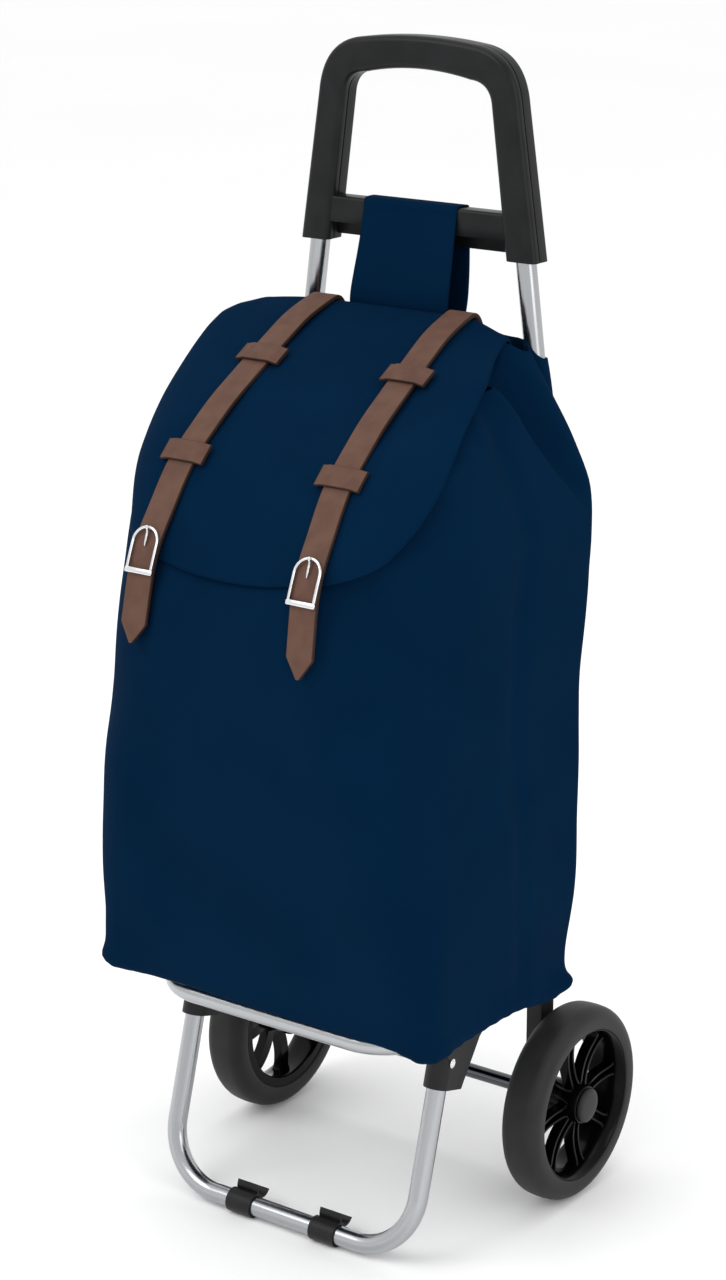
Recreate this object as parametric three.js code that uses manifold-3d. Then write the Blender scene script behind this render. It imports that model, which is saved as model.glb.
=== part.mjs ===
// Shopping trolley on wheels: a folding tube frame with two wheels at the back, a U-shaped leg
// in front and a fabric bag that hangs from the handle and stands on the platform.
//
// Millimetres. X runs across the trolley, +Y points to its back and +Z up. While the pieces are
// made, Y is measured from the axle; the last step centres the trolley over its origin.
import * as THREE from 'three';
import { mergeVertices } from 'three/addons/utils/BufferGeometryUtils.js';
import Module from 'manifold-3d';

const wasm = await Module();
wasm.setup();

// ---------------------------------------------------------------- driving dimensions

const gap = 0.3;                    // between pieces that touch
const sides = [['left', -1], ['right', 1]];

// aluminium tube of the frame
const tubeDiameter = 16;
const tubeWall = 1.2;

// wheels and axle
const wheelDiameter = 165;
const widthOverTyres = 338;
const tyreWidth = 35;
const tyreShoulder = 11;
const tyreThickness = 19;           // from the rim to the tread
const wheelClearance = 4.2;         // between a wheel and the frame's tubes
const rimWall = 4.5;
const rimInset = 1.6;               // rim edge behind the tyre's side
const spokeCount = 8;
const spokeWidth = 9.6;
const spokeWall = 2.2;
const spokeDepth = 9;
const spokeRecess = 9;              // of the spoke ends behind the tyre's side
const spokeDish = 7;                // of mid spoke behind the spoke ends
const hubDiameter = 32;
const hubCounterbore = 25;
const hubPocketDepth = 12;
const capDiameter = 29;
const capProud = 2.8;               // of the cap's face over the tyre's side
const capRim = 3.4;
const capSkirtWall = 1.6;
const capSkirtLength = 6;
const axleDiameter = 12;
const washerThickness = 1.6;
const washerDiameter = 24;
const pushNutThickness = 1.5;
const pushNutDiameter = 21;

// axle brackets
const postWidth = 15.5;
const postDepth = 18.7;
const bossRadius = 13;
const socketWall = 2.9;
const socketAbovePlatform = 38;
const uprightSeatAbovePlatform = 3;
const platformSocketDepth = 19;

// uprights and handle
const uprightSetback = -2.5;        // uprights and handle lie in this plane
const uprightBendAbovePlatform = 335;
const uprightBendRadius = 60;
const uprightTuckIn = 23.8;         // of the upright where it enters the handle
const handleTop = 940.5;
const handleHeight = 162.5;
const handleDepth = 20;
const handleEdge = 3.5;
const handleLegOutside = 10.6;      // from the tube's centre to the leg's outer side
const handleLegInside = 12.3;
const handleLean = 0.13;            // of the legs, inwards per unit of height
const handleShoulderIn = 36;        // from the top of the tube to where the crown begins
const handleCrown = 4.5;            // rise of the crown over its shoulders
const handleOuterRadius = 36;
const handleInnerRadius = 17;
const handleBarAbove = 33;          // top of the bar over the handle's lower end
const handleBarFrontDepth = 21;
const handleBarBackDepth = 31;
const handleBarSetback = 2;
const handleBarWall = 3.5;
const handleThickness = 21;         // of the arch, top to bottom
const handleFrontShell = 8.5;       // thickness of the front shell's face
const handleRim = 2.2;              // wall of the front shell round the back shell
const handleSocketDepth = 58;

// platform and leg
const platformTop = 200;
const platformForward = 204;        // front bar, ahead of the axle
const platformBendRadius = 45;
const pivotBehindBar = 59.5;
const pivotBelowPlatform = 35;
const footBeforePivot = 44.7;
const legBendRadius = 50;
const legEndPastPivot = 4.5;
const rivetDiameter = 5;
const rivetHeadDiameter = 8;
const rivetHeadHeight = 1.3;
const bracketWall = 2.7;
const bracketSleeveLength = 22;     // below the pivot, along the leg
const bracketPlateBehind = 18.7;    // behind the leg at the sleeve's mouth
const saddleBack = 42;              // end of the saddle behind the pivot
const footWidth = 24;
const footHalfSpacing = 42;
const footWall = 2;
const footLip = 5;
const footSaddlePlay = 0.6;         // between the saddle and the axle
const footSaddleWall = 1.7;
const footSaddleLip = 1.4;

// bag and its soft goods
const handleAboveCrest = 205.7;
const bagDepth = 250;
const bagOverhang = 47.2;           // of the bag's side over the frame's tube
const bagBackCorner = 12;
const sleeveRadius = 13.7;
const clothThickness = 2.5;
const boardThickness = 3;
const strapWidth = 22;
const strapThickness = 3.5;
const strapSpreadTop = 65;          // half spacing of the straps at the crest
const strapSpreadTip = 79;
const flapHingeHalf = 110;          // half widths of the flap, along its cloth
const flapFullHalf = 148;
const flapCornerRadius = 26;        // at the free end
const flapTopFlat = 108;            // half width that lies flat, at the hinge and at the free end
const flapEndFlat = 72;
const flapWrapRadius = 58;          // at which the sides bend down
const strapPoint = 16;              // length of the pointed tip
const keeperWidth = 38;
const keeperLength = 15;
const keeperThickness = 2.8;
const buckleWidth = 29.5;
const buckleLength = 39.5;
const buckleWire = 2.4;
const buckleBar = 4.4;
const prongDiameter = 1.8;
const prongLength = 13;
const loopWidth = 87;
const loopThickness = 2;
const sleeveBelowCrest = 165;
const sleeveLength = 132;
const loopFrontFoot = 19;           // ends of the loop, below the crest
const loopBackFoot = 67;

// ---------------------------------------------------------------- sizes that follow

const tubeRadius = tubeDiameter / 2;
const rimDiameter = wheelDiameter - 2 * tyreThickness;
const frameHalfWidth = widthOverTyres / 2 - tyreWidth - wheelClearance - tubeRadius;
const uprightTopHalfWidth = frameHalfWidth - uprightTuckIn;
const uprightBendHeight = platformTop + uprightBendAbovePlatform;
const uprightSeat = platformTop + uprightSeatAbovePlatform;
const socketTop = platformTop + socketAbovePlatform;
const pivotForward = platformForward - pivotBehindBar;
const pivotHeight = platformTop - pivotBelowPlatform;
const footForward = pivotForward + footBeforePivot;
const handleBottom = handleTop - handleHeight;
const handleOuterBottom = uprightTopHalfWidth + handleLegOutside;
const handleInnerBottom = uprightTopHalfWidth - handleLegInside;
const handleShoulder = uprightTopHalfWidth - handleShoulderIn;
const handleBarTop = handleBottom + handleBarAbove;
const crest = handleTop - handleAboveCrest;
const bore = tubeRadius + gap;
const axleRadius = axleDiameter / 2;
const axleHeight = wheelDiameter / 2;
const wheelMiddle = (widthOverTyres - tyreWidth) / 2;
const platformHeight = platformTop - tubeRadius;
const footBarHeight = footWall + tubeRadius;
const legLean = Math.atan2(footForward - pivotForward, pivotHeight - footBarHeight);
const legDown = new THREE.Vector3(0, -Math.sin(legLean), -Math.cos(legLean));
const legForward = new THREE.Vector3(0, -Math.cos(legLean), Math.sin(legLean));
const pivot = new THREE.Vector3(0, -pivotForward, pivotHeight);
const pivotToBar = Math.hypot(footForward - pivotForward, pivotHeight - footBarHeight);
const pivotToAxle = Math.hypot(pivotForward, pivotHeight - axleHeight);
const barToAxle = tubeRadius + gap + footSaddleWall + footSaddlePlay + axleRadius;
const axleAngle = Math.atan2(pivotForward, pivotHeight - axleHeight);
const barAngle = Math.acos(
  (pivotToBar ** 2 + pivotToAxle ** 2 - barToAxle ** 2) / (2 * pivotToBar * pivotToAxle),
);
const foldedLean = axleAngle - barAngle;   // of the leg, backwards
const saddleCentre = [
  pivotForward - pivotToBar * Math.sin(foldedLean),
  axleHeight - pivotHeight + pivotToBar * Math.cos(foldedLean),
];
const uprightLean = (frameHalfWidth - uprightTopHalfWidth) / (handleBottom - uprightBendHeight);
const bagFloor = platformTop + gap;

const bagBack = uprightSetback - sleeveRadius - gap;
const bagHalf = frameHalfWidth + bagOverhang;
const mouthRise = 0.648;            // slope of the mouth, up to the back
const mouthFront = 0.662;           // share of the bag's depth
const mouthBack = 0.07;
const bagHeight = crest - bagFloor - 3.2 - mouthRise * (mouthFront - mouthBack) * bagDepth;

// The flap's outer face in its middle plane, from its hinge over the crest to the strap tips:
// distance ahead of the bag's back as a share of its depth, and drop below the crest.
const drape = new THREE.CatmullRomCurve3([
  [0.074, 0], [0.11, 1.6], [0.226, 13.3], [0.398, 35.1], [0.552, 59],
  [0.754, 94.5], [0.871, 131.9], [0.958, 170.3], [1.005, 231.4],
].map(([share, drop]) => (
  new THREE.Vector3(0, bagBack - share * bagDepth, crest - drop * bagHeight / 435.7)
)), false, 'centripetal');
const flapEnd = 0.83;               // share of the drape that the flap covers in the middle
const flapSideRise = 0.11;          // of its free end at the sides, as a share of the drape
const flapStation = 0.05;           // share of the drape from one row of the flap to the next
const flapEvenRows = 14;
const flapEndRows = 4;              // rows that fan out over its rounded end
const upperKeeperAt = 0.235;
const lowerKeeperAt = 0.553;
const buckleAt = 0.79;

// Levels of the bag from its floor to its mouth: height of the front as a share of the bag's,
// front, back and radius of the front corners as shares of its depth, half width at the back as
// a share of the whole, narrowing towards the front, and rise of the level's plane to the back.
const bagLevels = [
  [0, 0.818, 0.024, 0.97, 0.06, 1, 0],
  [0.013, 0.83, 0.004, 0.982, 0.07, 1, 0],
  [0.068, 0.846, 0, 0.954, 0.09, 1, 0],
  [0.229, 0.902, 0, 0.988, 0.17, 0.973, 0],
  [0.458, 0.96, 0, 0.998, 0.29, 0.935, 0],
  [0.695, 1, 0, 1, 0.42, 0.885, 0],
  [0.832, 0.93, 0, 1.025, 0.43, 0.86, 0.1],
  [0.917, 0.8, 0, 0.89, 0.36, 0.97, 0.33],
  [1, mouthFront, mouthBack, 0.69, 0.24, 1.03, mouthRise],
].map(([height, front, back, half, corner, narrowing, rise]) => ({
  z: bagFloor + height * bagHeight,
  front: bagBack - front * bagDepth,
  back: bagBack - back * bagDepth,
  half: half * bagHalf,
  corner: corner * bagDepth,
  narrowing,
  rise,
}));

// ---------------------------------------------------------------- making solids

const X = new THREE.Vector3(1, 0, 0);
const Y = new THREE.Vector3(0, 1, 0);
const Z = new THREE.Vector3(0, 0, 1);

// Merges the shared vertices of a closed geometry and turns its faces outwards.
function closed(geometry) {
  geometry.deleteAttribute('normal');
  geometry.deleteAttribute('uv');
  const merged = mergeVertices(geometry, 1e-4);
  const place = merged.attributes.position;
  const index = merged.index.array;
  const corner = [new THREE.Vector3(), new THREE.Vector3(), new THREE.Vector3()];
  let volume = 0;
  for (let face = 0; face < index.length; face += 3) {
    corner.forEach((point, k) => point.fromBufferAttribute(place, index[face + k]));
    volume += corner[0].dot(corner[1].clone().cross(corner[2]));
  }
  if (volume < 0) {
    index.reverse();
  }
  return merged;
}

function toSolid(geometry) {
  const merged = closed(geometry);
  return new wasm.Manifold(new wasm.Mesh({
    numProp: 3,
    vertProperties: new Float32Array(merged.attributes.position.array),
    triVerts: new Uint32Array(merged.index.array),
  }));
}

function toGeometry(solid) {
  const mesh = solid.getMesh();
  const geometry = new THREE.BufferGeometry();
  geometry.setAttribute('position', new THREE.BufferAttribute(mesh.vertProperties, 3));
  geometry.setIndex(new THREE.BufferAttribute(mesh.triVerts, 1));
  return geometry;
}

function join(first, ...others) {
  return others.reduce((sum, geometry) => sum.add(toSolid(geometry)), toSolid(first));
}

function cut(solid, ...others) {
  return others.reduce((rest, geometry) => rest.subtract(toSolid(geometry)), solid);
}

function outline(points) {
  return new THREE.Shape(points.map(([a, b]) => new THREE.Vector2(a, b)));
}

function ring(radius, hole) {
  const shape = new THREE.Shape().absarc(0, 0, radius, 0, 2 * Math.PI);
  if (hole > 0) {
    shape.holes.push(new THREE.Path().absarc(0, 0, hole, 0, 2 * Math.PI));
  }
  return shape;
}

// A prism between two stations along an axis; its edges may be softened.
function prism(shape, from, to, basis, soft = 0, curveSegments = 8) {
  const geometry = new THREE.ExtrudeGeometry(shape, {
    depth: to - from - 2 * soft,
    bevelEnabled: soft > 0,
    bevelThickness: soft,
    bevelSize: soft,
    bevelOffset: -soft,
    bevelSegments: 2,
    curveSegments,
  });
  geometry.translate(0, 0, from + soft);
  return geometry.applyMatrix4(basis);
}

// Drawn in (y, z), along X.
const alongX = new THREE.Matrix4().makeBasis(Y, Z, X);
// Drawn in (x, z), with the stations given as -y: the prism runs from the back to the front.
const alongY = new THREE.Matrix4().makeBasis(X, Z, Y.clone().negate());
const alongZ = new THREE.Matrix4();

function acrossX(shape, from, to, soft, segments) {
  return prism(shape, from, to, alongX, soft, segments);
}

function acrossY(shape, front, back, soft, segments) {
  return prism(shape, -back, -front, alongY, soft, segments);
}

function upZ(shape, bottom, top, soft, segments) {
  return prism(shape, bottom, top, alongZ, soft, segments);
}

function rod(from, to, radius, segments = 20) {
  const length = from.distanceTo(to);
  const geometry = new THREE.CylinderGeometry(radius, radius, length, segments);
  const direction = to.clone().sub(from).normalize();
  geometry.applyQuaternion(new THREE.Quaternion().setFromUnitVectors(Y, direction));
  const middle = from.clone().add(to).multiplyScalar(0.5);
  return geometry.translate(middle.x, middle.y, middle.z);
}

function block(x0, x1, y0, y1, z0, z1) {
  const geometry = new THREE.BoxGeometry(x1 - x0, y1 - y0, z1 - z0);
  return geometry.translate((x0 + x1) / 2, (y0 + y1) / 2, (z0 + z1) / 2);
}

// A ring or disc turned about X; the profile holds [radius, x] pairs.
function turned(profile, segments) {
  const points = profile.map(([radius, x]) => new THREE.Vector2(radius, x));
  if (profile[0][0] > 0) {
    points.push(points[0].clone());
  }
  return new THREE.LatheGeometry(points, segments).rotateZ(-Math.PI / 2);
}

// A curve with a station at each end of every straight and along every bend, so that a swept
// tube has rings only where it turns.
class BentPath extends THREE.Curve {
  constructor(corners, radius, stepsPerBend = 6) {
    super();
    this.stations = [];
    corners.forEach((corner, i) => {
      const before = corners[i - 1];
      const after = corners[i + 1];
      const arriving = before && corner.clone().sub(before).normalize();
      const leaving = after && after.clone().sub(corner).normalize();
      if (!before || !after) {
        this.stations.push([corner.clone(), (leaving || arriving).clone()]);
        return;
      }
      const turn = arriving.angleTo(leaving);
      const axis = arriving.clone().cross(leaving).normalize();
      const start = corner.clone().addScaledVector(arriving, -radius * Math.tan(turn / 2));
      const inward = axis.clone().cross(arriving);
      const centre = start.clone().addScaledVector(inward, radius);
      for (let step = 0; step <= stepsPerBend; step += 1) {
        const angle = turn * step / stepsPerBend;
        const spoke = start.clone().sub(centre).applyAxisAngle(axis, angle);
        this.stations.push([spoke.add(centre), arriving.clone().applyAxisAngle(axis, angle)]);
      }
    });
  }

  get steps() {
    return this.stations.length - 1;
  }

  station(t) {
    return this.stations[Math.round(t * this.steps)];
  }

  getPoint(t) {
    return this.station(t)[0].clone();
  }

  getPointAt(t) {
    return this.getPoint(t);
  }

  getTangentAt(t) {
    return this.station(t)[1].clone();
  }

  getSpacedPoints() {
    return this.stations.map(([point]) => point.clone());
  }
}

function bentTube(corners, radius, stepsPerBend) {
  const path = new BentPath(corners, radius, stepsPerBend);
  return new THREE.ExtrudeGeometry(ring(tubeRadius, tubeRadius - tubeWall), {
    steps: path.steps,
    extrudePath: path,
    curveSegments: 7,
  });
}

function fromFaces(points, faces) {
  const geometry = new THREE.BufferGeometry().setFromPoints(points);
  geometry.setIndex(faces.flat());
  return closed(geometry);
}

// A closed sheet between two grids of points of the same size.
function slab(upper, lower) {
  const rows = upper.length;
  const columns = upper[0].length;
  const under = rows * columns;
  const at = (row, column) => row * columns + column;
  const faces = [];
  const quad = (a, b, c, d) => faces.push([a, b, c], [a, c, d]);
  for (let row = 0; row + 1 < rows; row += 1) {
    for (let column = 0; column + 1 < columns; column += 1) {
      const a = at(row, column);
      const b = at(row, column + 1);
      const c = at(row + 1, column + 1);
      const d = at(row + 1, column);
      quad(a, b, c, d);
      quad(under + d, under + c, under + b, under + a);
    }
  }
  const border = [];
  for (let column = 0; column + 1 < columns; column += 1) border.push(at(0, column));
  for (let row = 0; row + 1 < rows; row += 1) border.push(at(row, columns - 1));
  for (let column = columns - 1; column > 0; column -= 1) border.push(at(rows - 1, column));
  for (let row = rows - 1; row > 0; row -= 1) border.push(at(row, 0));
  border.forEach((a, i) => {
    const b = border[(i + 1) % border.length];
    quad(b, a, under + a, under + b);
  });
  return fromFaces([...upper.flat(), ...lower.flat()], faces);
}

// A closed body through rings of points, closed by a fan over its first and its last ring.
function loft(rings) {
  const count = rings[0].length;
  const points = rings.flat();
  const faces = [];
  for (let level = 0; level + 1 < rings.length; level += 1) {
    for (let i = 0; i < count; i += 1) {
      const next = (i + 1) % count;
      const a = level * count + i;
      const b = level * count + next;
      faces.push([a, b, b + count], [a, b + count, a + count]);
    }
  }
  const fan = (start, flip) => {
    const middle = new THREE.Vector3();
    for (let i = 0; i < count; i += 1) middle.addScaledVector(points[start + i], 1 / count);
    const hub = points.push(middle) - 1;
    for (let i = 0; i < count; i += 1) {
      const a = start + i;
      const b = start + (i + 1) % count;
      faces.push(flip ? [hub, b, a] : [hub, a, b]);
    }
  };
  fan(0, true);
  fan((rings.length - 1) * count, false);
  return fromFaces(points, faces);
}

// ---------------------------------------------------------------- frame

function uprightAxis(side, z) {
  const lean = Math.max(0, z - uprightBendHeight) * uprightLean;
  return new THREE.Vector3(side * (frameHalfWidth - lean), uprightSetback, z);
}

function upright(side) {
  const top = handleBottom + handleSocketDepth - 2;
  const corners = [uprightSeat, uprightBendHeight, top].map((z) => uprightAxis(side, z));
  return closed(bentTube(corners, uprightBendRadius, 4));
}

function platformTube() {
  const back = new THREE.Vector3(frameHalfWidth, socketFront + platformSocketDepth - 1, platformHeight);
  const front = new THREE.Vector3(frameHalfWidth, -platformForward, platformHeight);
  const mirror = (point) => point.clone().setX(-point.x);
  return closed(bentTube([mirror(back), mirror(front), front, back], platformBendRadius));
}

function legTube() {
  const top = pivot.clone().addScaledVector(legDown, -legEndPastPivot).setX(frameHalfWidth);
  const foot = new THREE.Vector3(frameHalfWidth, -footForward, footBarHeight);
  const mirror = (point) => point.clone().setX(-point.x);
  const tube = toSolid(bentTube([mirror(top), mirror(foot), foot, top], legBendRadius));
  const holes = pivot.clone();
  return toGeometry(cut(tube, rod(
    holes.clone().setX(-frameHalfWidth - tubeDiameter),
    holes.clone().setX(frameHalfWidth + tubeDiameter),
    rivetDiameter / 2 + gap,
    16,
  )));
}

const socketHalf = bore + socketWall;
const socketFront = uprightSetback - socketHalf;
const socketBack = uprightSetback + socketHalf;
const socketBottom = platformHeight - socketHalf;

// Post down to the axle's boss, with the sockets of the upright and of the platform on top.
function axleBracket() {
  const half = postDepth / 2;
  const shape = new THREE.Shape();
  shape.moveTo(-half, socketBottom + 2);
  shape.lineTo(-half, axleHeight + bossRadius);
  shape.lineTo(-bossRadius, axleHeight);
  shape.absarc(0, axleHeight, bossRadius, Math.PI, 2 * Math.PI);
  shape.lineTo(half, axleHeight + bossRadius);
  shape.lineTo(half, socketBottom + 2);
  const post = acrossX(shape, -postWidth / 2, postWidth / 2, 1.5, 6);
  const soft = 4;
  const plan = new THREE.Shape();
  plan.moveTo(-socketHalf + soft, socketFront);
  plan.lineTo(socketHalf - soft, socketFront);
  plan.absarc(socketHalf - soft, socketFront + soft, soft, -Math.PI / 2, 0);
  plan.absarc(socketHalf - soft, socketBack - soft, soft, 0, Math.PI / 2);
  plan.absarc(soft - socketHalf, socketBack - soft, soft, Math.PI / 2, Math.PI);
  plan.absarc(soft - socketHalf, socketFront + soft, soft, Math.PI, 1.5 * Math.PI);
  const housing = upZ(plan, socketBottom, socketTop, 1.5, 3);
  const above = new THREE.Vector3(0, uprightSetback, socketTop + 1);
  const below = new THREE.Vector3(0, uprightSetback, uprightSeat - gap);
  const mouth = new THREE.Vector3(0, socketFront - 1, platformHeight);
  const end = new THREE.Vector3(0, socketFront + platformSocketDepth, platformHeight);
  return toGeometry(cut(
    join(housing, post),
    rod(above, below, bore),
    rod(mouth, end, bore),
    rod(
      new THREE.Vector3(-postWidth, 0, axleHeight),
      new THREE.Vector3(postWidth, 0, axleHeight),
      axleRadius + gap,
    ),
  ));
}

// The space in which the leg's end swings: a ball round the pivot, flat on both sides.
function legSwing(half, reach) {
  const steps = 8;
  const around = Array.from({ length: steps + 1 }, (_, step) => {
    const x = half * (2 * step / steps - 1);
    return [Math.sqrt(reach ** 2 - x ** 2), x];
  });
  const ball = turned([[0, -half], ...around, [0, half]], 24);
  return ball.translate(pivot.x, pivot.y, pivot.z);
}

// Channel in which the leg's top swings, under a saddle that carries the platform's tube.
// The sleeve round the leg's front is its stop.
function legBracket() {
  const half = tubeRadius + gap;
  const sleeve = half + bracketWall;
  const reach = Math.hypot(half, legEndPastPivot + gap);
  const roof = pivotHeight + reach;
  const at = (down, forward) => {
    const point = pivot.clone().addScaledVector(legDown, down).addScaledVector(legForward, forward);
    return [point.y, point.z];
  };
  const [frontY] = at(-legEndPastPivot - bracketWall, sleeve);
  const backY = -pivotForward + saddleBack;
  const plates = outline([
    at(bracketSleeveLength, 0),
    at(bracketSleeveLength, -bracketPlateBehind),
    [backY - 4, roof],
    [backY, roof + 3],
    [backY, platformHeight],
    [frontY, platformHeight],
    [frontY, roof],
    at(0, 0),
  ]);
  const channel = outline([
    at(bracketSleeveLength + 20, 0),
    at(bracketSleeveLength + 20, -bracketPlateBehind - 60),
    [backY + 30, roof],
    [-pivotForward, roof],
    at(-legEndPastPivot / 2, 0),
  ]);
  const mouth = pivot.clone().addScaledVector(legDown, bracketSleeveLength);
  const top = pivot.clone().addScaledVector(legDown, -legEndPastPivot - bracketWall);
  const below = pivot.clone().addScaledVector(legDown, bracketSleeveLength + 5);
  const end = pivot.clone().addScaledVector(legDown, -legEndPastPivot - gap);
  const tubeLine = (y) => new THREE.Vector3(0, y, platformHeight);
  const hole = rivetDiameter / 2 + gap;
  return toGeometry(cut(
    join(acrossX(plates, -sleeve, sleeve), rod(mouth, top, sleeve, 24)),
    rod(below, end, half, 24),
    legSwing(half, reach),
    acrossX(channel, -half, half),
    rod(tubeLine(frontY - 5), tubeLine(backY + 5), half, 24),
    rod(pivot.clone().setX(-30), pivot.clone().setX(30), hole, 16),
    block(-30, 30, frontY - 30, backY + 30, platformHeight, platformHeight + 30),
  ));
}

function rivet() {
  const grip = tubeRadius + gap + bracketWall + gap;
  const head = rivetHeadDiameter / 2;
  const shank = rivetDiameter / 2;
  return closed(turned([
    [0, -grip - rivetHeadHeight],
    [head * 0.7, -grip - rivetHeadHeight],
    [head, -grip - rivetHeadHeight / 3],
    [head, -grip],
    [shank, -grip],
    [shank, grip],
    [head, grip],
    [head, grip + rivetHeadHeight / 3],
    [head * 0.7, grip + rivetHeadHeight],
    [0, grip + rivetHeadHeight],
  ], 16));
}

// Snap-on foot. An open ring holds the leg's bar and stands on the floor with a straight lip;
// a saddle on its back takes the axle when the leg is folded up.
function foot() {
  const rad = THREE.MathUtils.degToRad;
  const inner = tubeRadius + gap;
  const outer = inner + footWall - gap;
  const hold = new THREE.Shape();
  const lower = rad(-100);
  const upper = rad(-350);
  hold.absarc(0, 0, outer, lower, upper, true);
  hold.absarc(0, 0, inner, upper, lower, false);
  hold.lineTo(footLip, -inner);
  hold.lineTo(footLip, -outer);
  const seat = axleRadius + footSaddlePlay;
  const shell = seat + footSaddleWall;
  const [saddleY, saddleZ] = saddleCentre;
  const approach = foldedLean;
  const from = approach + rad(95);
  const to = approach + rad(270);
  const lip = (angle, radius, side) => [
    saddleY + radius * Math.cos(angle) + footSaddleLip * Math.cos(approach + side),
    saddleZ + radius * Math.sin(angle) + footSaddleLip * Math.sin(approach + side),
  ];
  const saddle = new THREE.Shape();
  saddle.absarc(saddleY, saddleZ, shell, from, to);
  saddle.lineTo(...lip(to, shell, -0.5));
  saddle.lineTo(...lip(to, seat, -0.35));
  saddle.absarc(saddleY, saddleZ, seat, to, from, true);
  saddle.lineTo(...lip(from, seat, 0.35));
  saddle.lineTo(...lip(from, shell, 0.5));
  const half = footWidth / 2;
  return toGeometry(cut(
    join(acrossX(hold, -half, half, 0, 14), acrossX(saddle, 1.5 - half, half - 1.5, 0, 10)),
    rod(new THREE.Vector3(-footWidth, 0, 0), new THREE.Vector3(footWidth, 0, 0), inner, 32),
  ));
}

// ---------------------------------------------------------------- handle

function handleHalf(bottomHalf, z) {
  return bottomHalf - (z - handleBottom) * handleLean;
}

// Outer outline of the handle, drawn inwards by a margin; it may reach below the legs.
function handleOutline(margin, bottom) {
  const top = handleTop - margin;
  const shoulder = top - handleCrown;
  const foot = handleHalf(handleOuterBottom, bottom) - margin;
  const cornerX = handleHalf(handleOuterBottom, shoulder) - margin;
  const cornerZ = shoulder - handleOuterRadius;
  const legX = handleHalf(handleOuterBottom, cornerZ) - margin;
  const shape = new THREE.Shape();
  shape.moveTo(-foot, bottom);
  shape.lineTo(foot, bottom);
  shape.lineTo(legX, cornerZ);
  shape.quadraticCurveTo(cornerX + 1, shoulder - 5, handleShoulder, shoulder);
  shape.quadraticCurveTo(0, top + handleCrown, -handleShoulder, shoulder);
  shape.quadraticCurveTo(-cornerX - 1, shoulder - 5, -legX, cornerZ);
  return shape;
}

function handleWindow() {
  const top = handleTop - handleThickness;
  const shoulder = top - handleCrown;
  const radius = handleInnerRadius;
  const side = (z) => handleHalf(handleInnerBottom, z);
  const shape = new THREE.Path();
  shape.moveTo(-side(handleBarTop) + 4, handleBarTop);
  shape.lineTo(side(handleBarTop) - 4, handleBarTop);
  shape.quadraticCurveTo(side(handleBarTop), handleBarTop, side(handleBarTop + 4), handleBarTop + 4);
  shape.lineTo(side(shoulder - radius), shoulder - radius);
  shape.quadraticCurveTo(side(shoulder), shoulder - 2, side(shoulder) - radius, shoulder);
  shape.quadraticCurveTo(0, top + handleCrown, -side(shoulder) + radius, shoulder);
  shape.quadraticCurveTo(-side(shoulder), shoulder - 2, -side(shoulder - radius), shoulder - radius);
  shape.lineTo(-side(handleBarTop + 4), handleBarTop + 4);
  shape.quadraticCurveTo(-side(handleBarTop), handleBarTop, 4 - side(handleBarTop), handleBarTop);
  return shape;
}

const handleFront = uprightSetback - handleDepth / 2;
const handleBack = uprightSetback + handleDepth / 2;
const handleSplit = handleFront + handleFrontShell;

function handleSockets() {
  return sides.map(([, side]) => rod(
    uprightAxis(side, handleBottom - 10),
    uprightAxis(side, handleBottom + handleSocketDepth),
    bore,
  ));
}

// The space below the bar between the legs, and the bar's channel, which opens downwards.
function handleBarCuts(barBottom) {
  const side = handleHalf(handleInnerBottom, barBottom);
  const top = handleBarTop - handleBarWall;
  const front = handleFront + handleBarSetback;
  const back = handleBack - handleBarSetback;
  const below = outline([
    [-side - 1, handleBottom - 5], [side + 1, handleBottom - 5], [side, barBottom], [-side, barBottom],
  ]);
  return [
    acrossY(below, handleFront - 1, handleBack + 1),
    block(-side + 1, side - 1, front + handleBarWall, back - handleBarWall, handleBottom - 5, top),
  ];
}

// Sets the bar's faces back from the faces of the legs.
function handleBarSetbacks() {
  const side = handleHalf(handleInnerBottom, handleBarTop) - 0.5;
  return [
    block(-side, side, handleFront - 1, handleFront + handleBarSetback, handleBottom - 5, handleBarTop + 1),
    block(-side, side, handleBack - handleBarSetback, handleBack + 1, handleBottom - 5, handleBarTop + 1),
  ];
}

function handleFrontPiece() {
  const whole = handleOutline(0, handleBottom);
  whole.holes.push(handleWindow());
  const pocket = handleOutline(handleRim, handleBottom - 5);
  return toGeometry(cut(
    toSolid(acrossY(whole, handleFront, handleBack, handleEdge, 8)),
    acrossY(pocket, handleSplit, handleBack + 1, 0, 8),
    ...handleSockets(),
    ...handleBarCuts(handleBarTop - handleBarFrontDepth),
    ...handleBarSetbacks(),
  ));
}

function handleBackPiece() {
  const body = handleOutline(handleRim + gap, handleBottom);
  body.holes.push(handleWindow());
  return toGeometry(cut(
    toSolid(acrossY(body, handleSplit + gap, handleBack, 1, 8)),
    ...handleSockets(),
    ...handleBarCuts(handleBarTop - handleBarBackDepth),
    ...handleBarSetbacks(),
  ));
}

// ---------------------------------------------------------------- wheels

// A wheel is made about the origin with its outer side at +X.
const tyreSide = tyreWidth / 2;
const tyreRadius = wheelDiameter / 2;
const rimRadius = rimDiameter / 2;
const hubInner = frameHalfWidth + postWidth / 2 + gap + washerThickness + gap - wheelMiddle;
const hubOuter = tyreSide - 1.4;
const pocketFloor = hubOuter - hubPocketDepth;

function tyre() {
  const inner = rimRadius + gap;
  const profile = [[inner, -tyreSide + 1], [inner + 1, -tyreSide]];
  const shoulderSteps = 3;
  const shoulder = tyreRadius - tyreShoulder;
  for (let step = 0; step <= shoulderSteps; step += 1) {
    const angle = Math.PI / 2 * step / shoulderSteps;
    profile.push([
      shoulder + tyreShoulder * Math.sin(angle) - 0.8 * (1 - Math.sin(angle)),
      -tyreSide + tyreShoulder * (1 - Math.cos(angle)),
    ]);
  }
  const mirrored = profile.map(([radius, x]) => [radius, -x]).reverse();
  return closed(turned([...profile, ...mirrored], 48));
}

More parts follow.
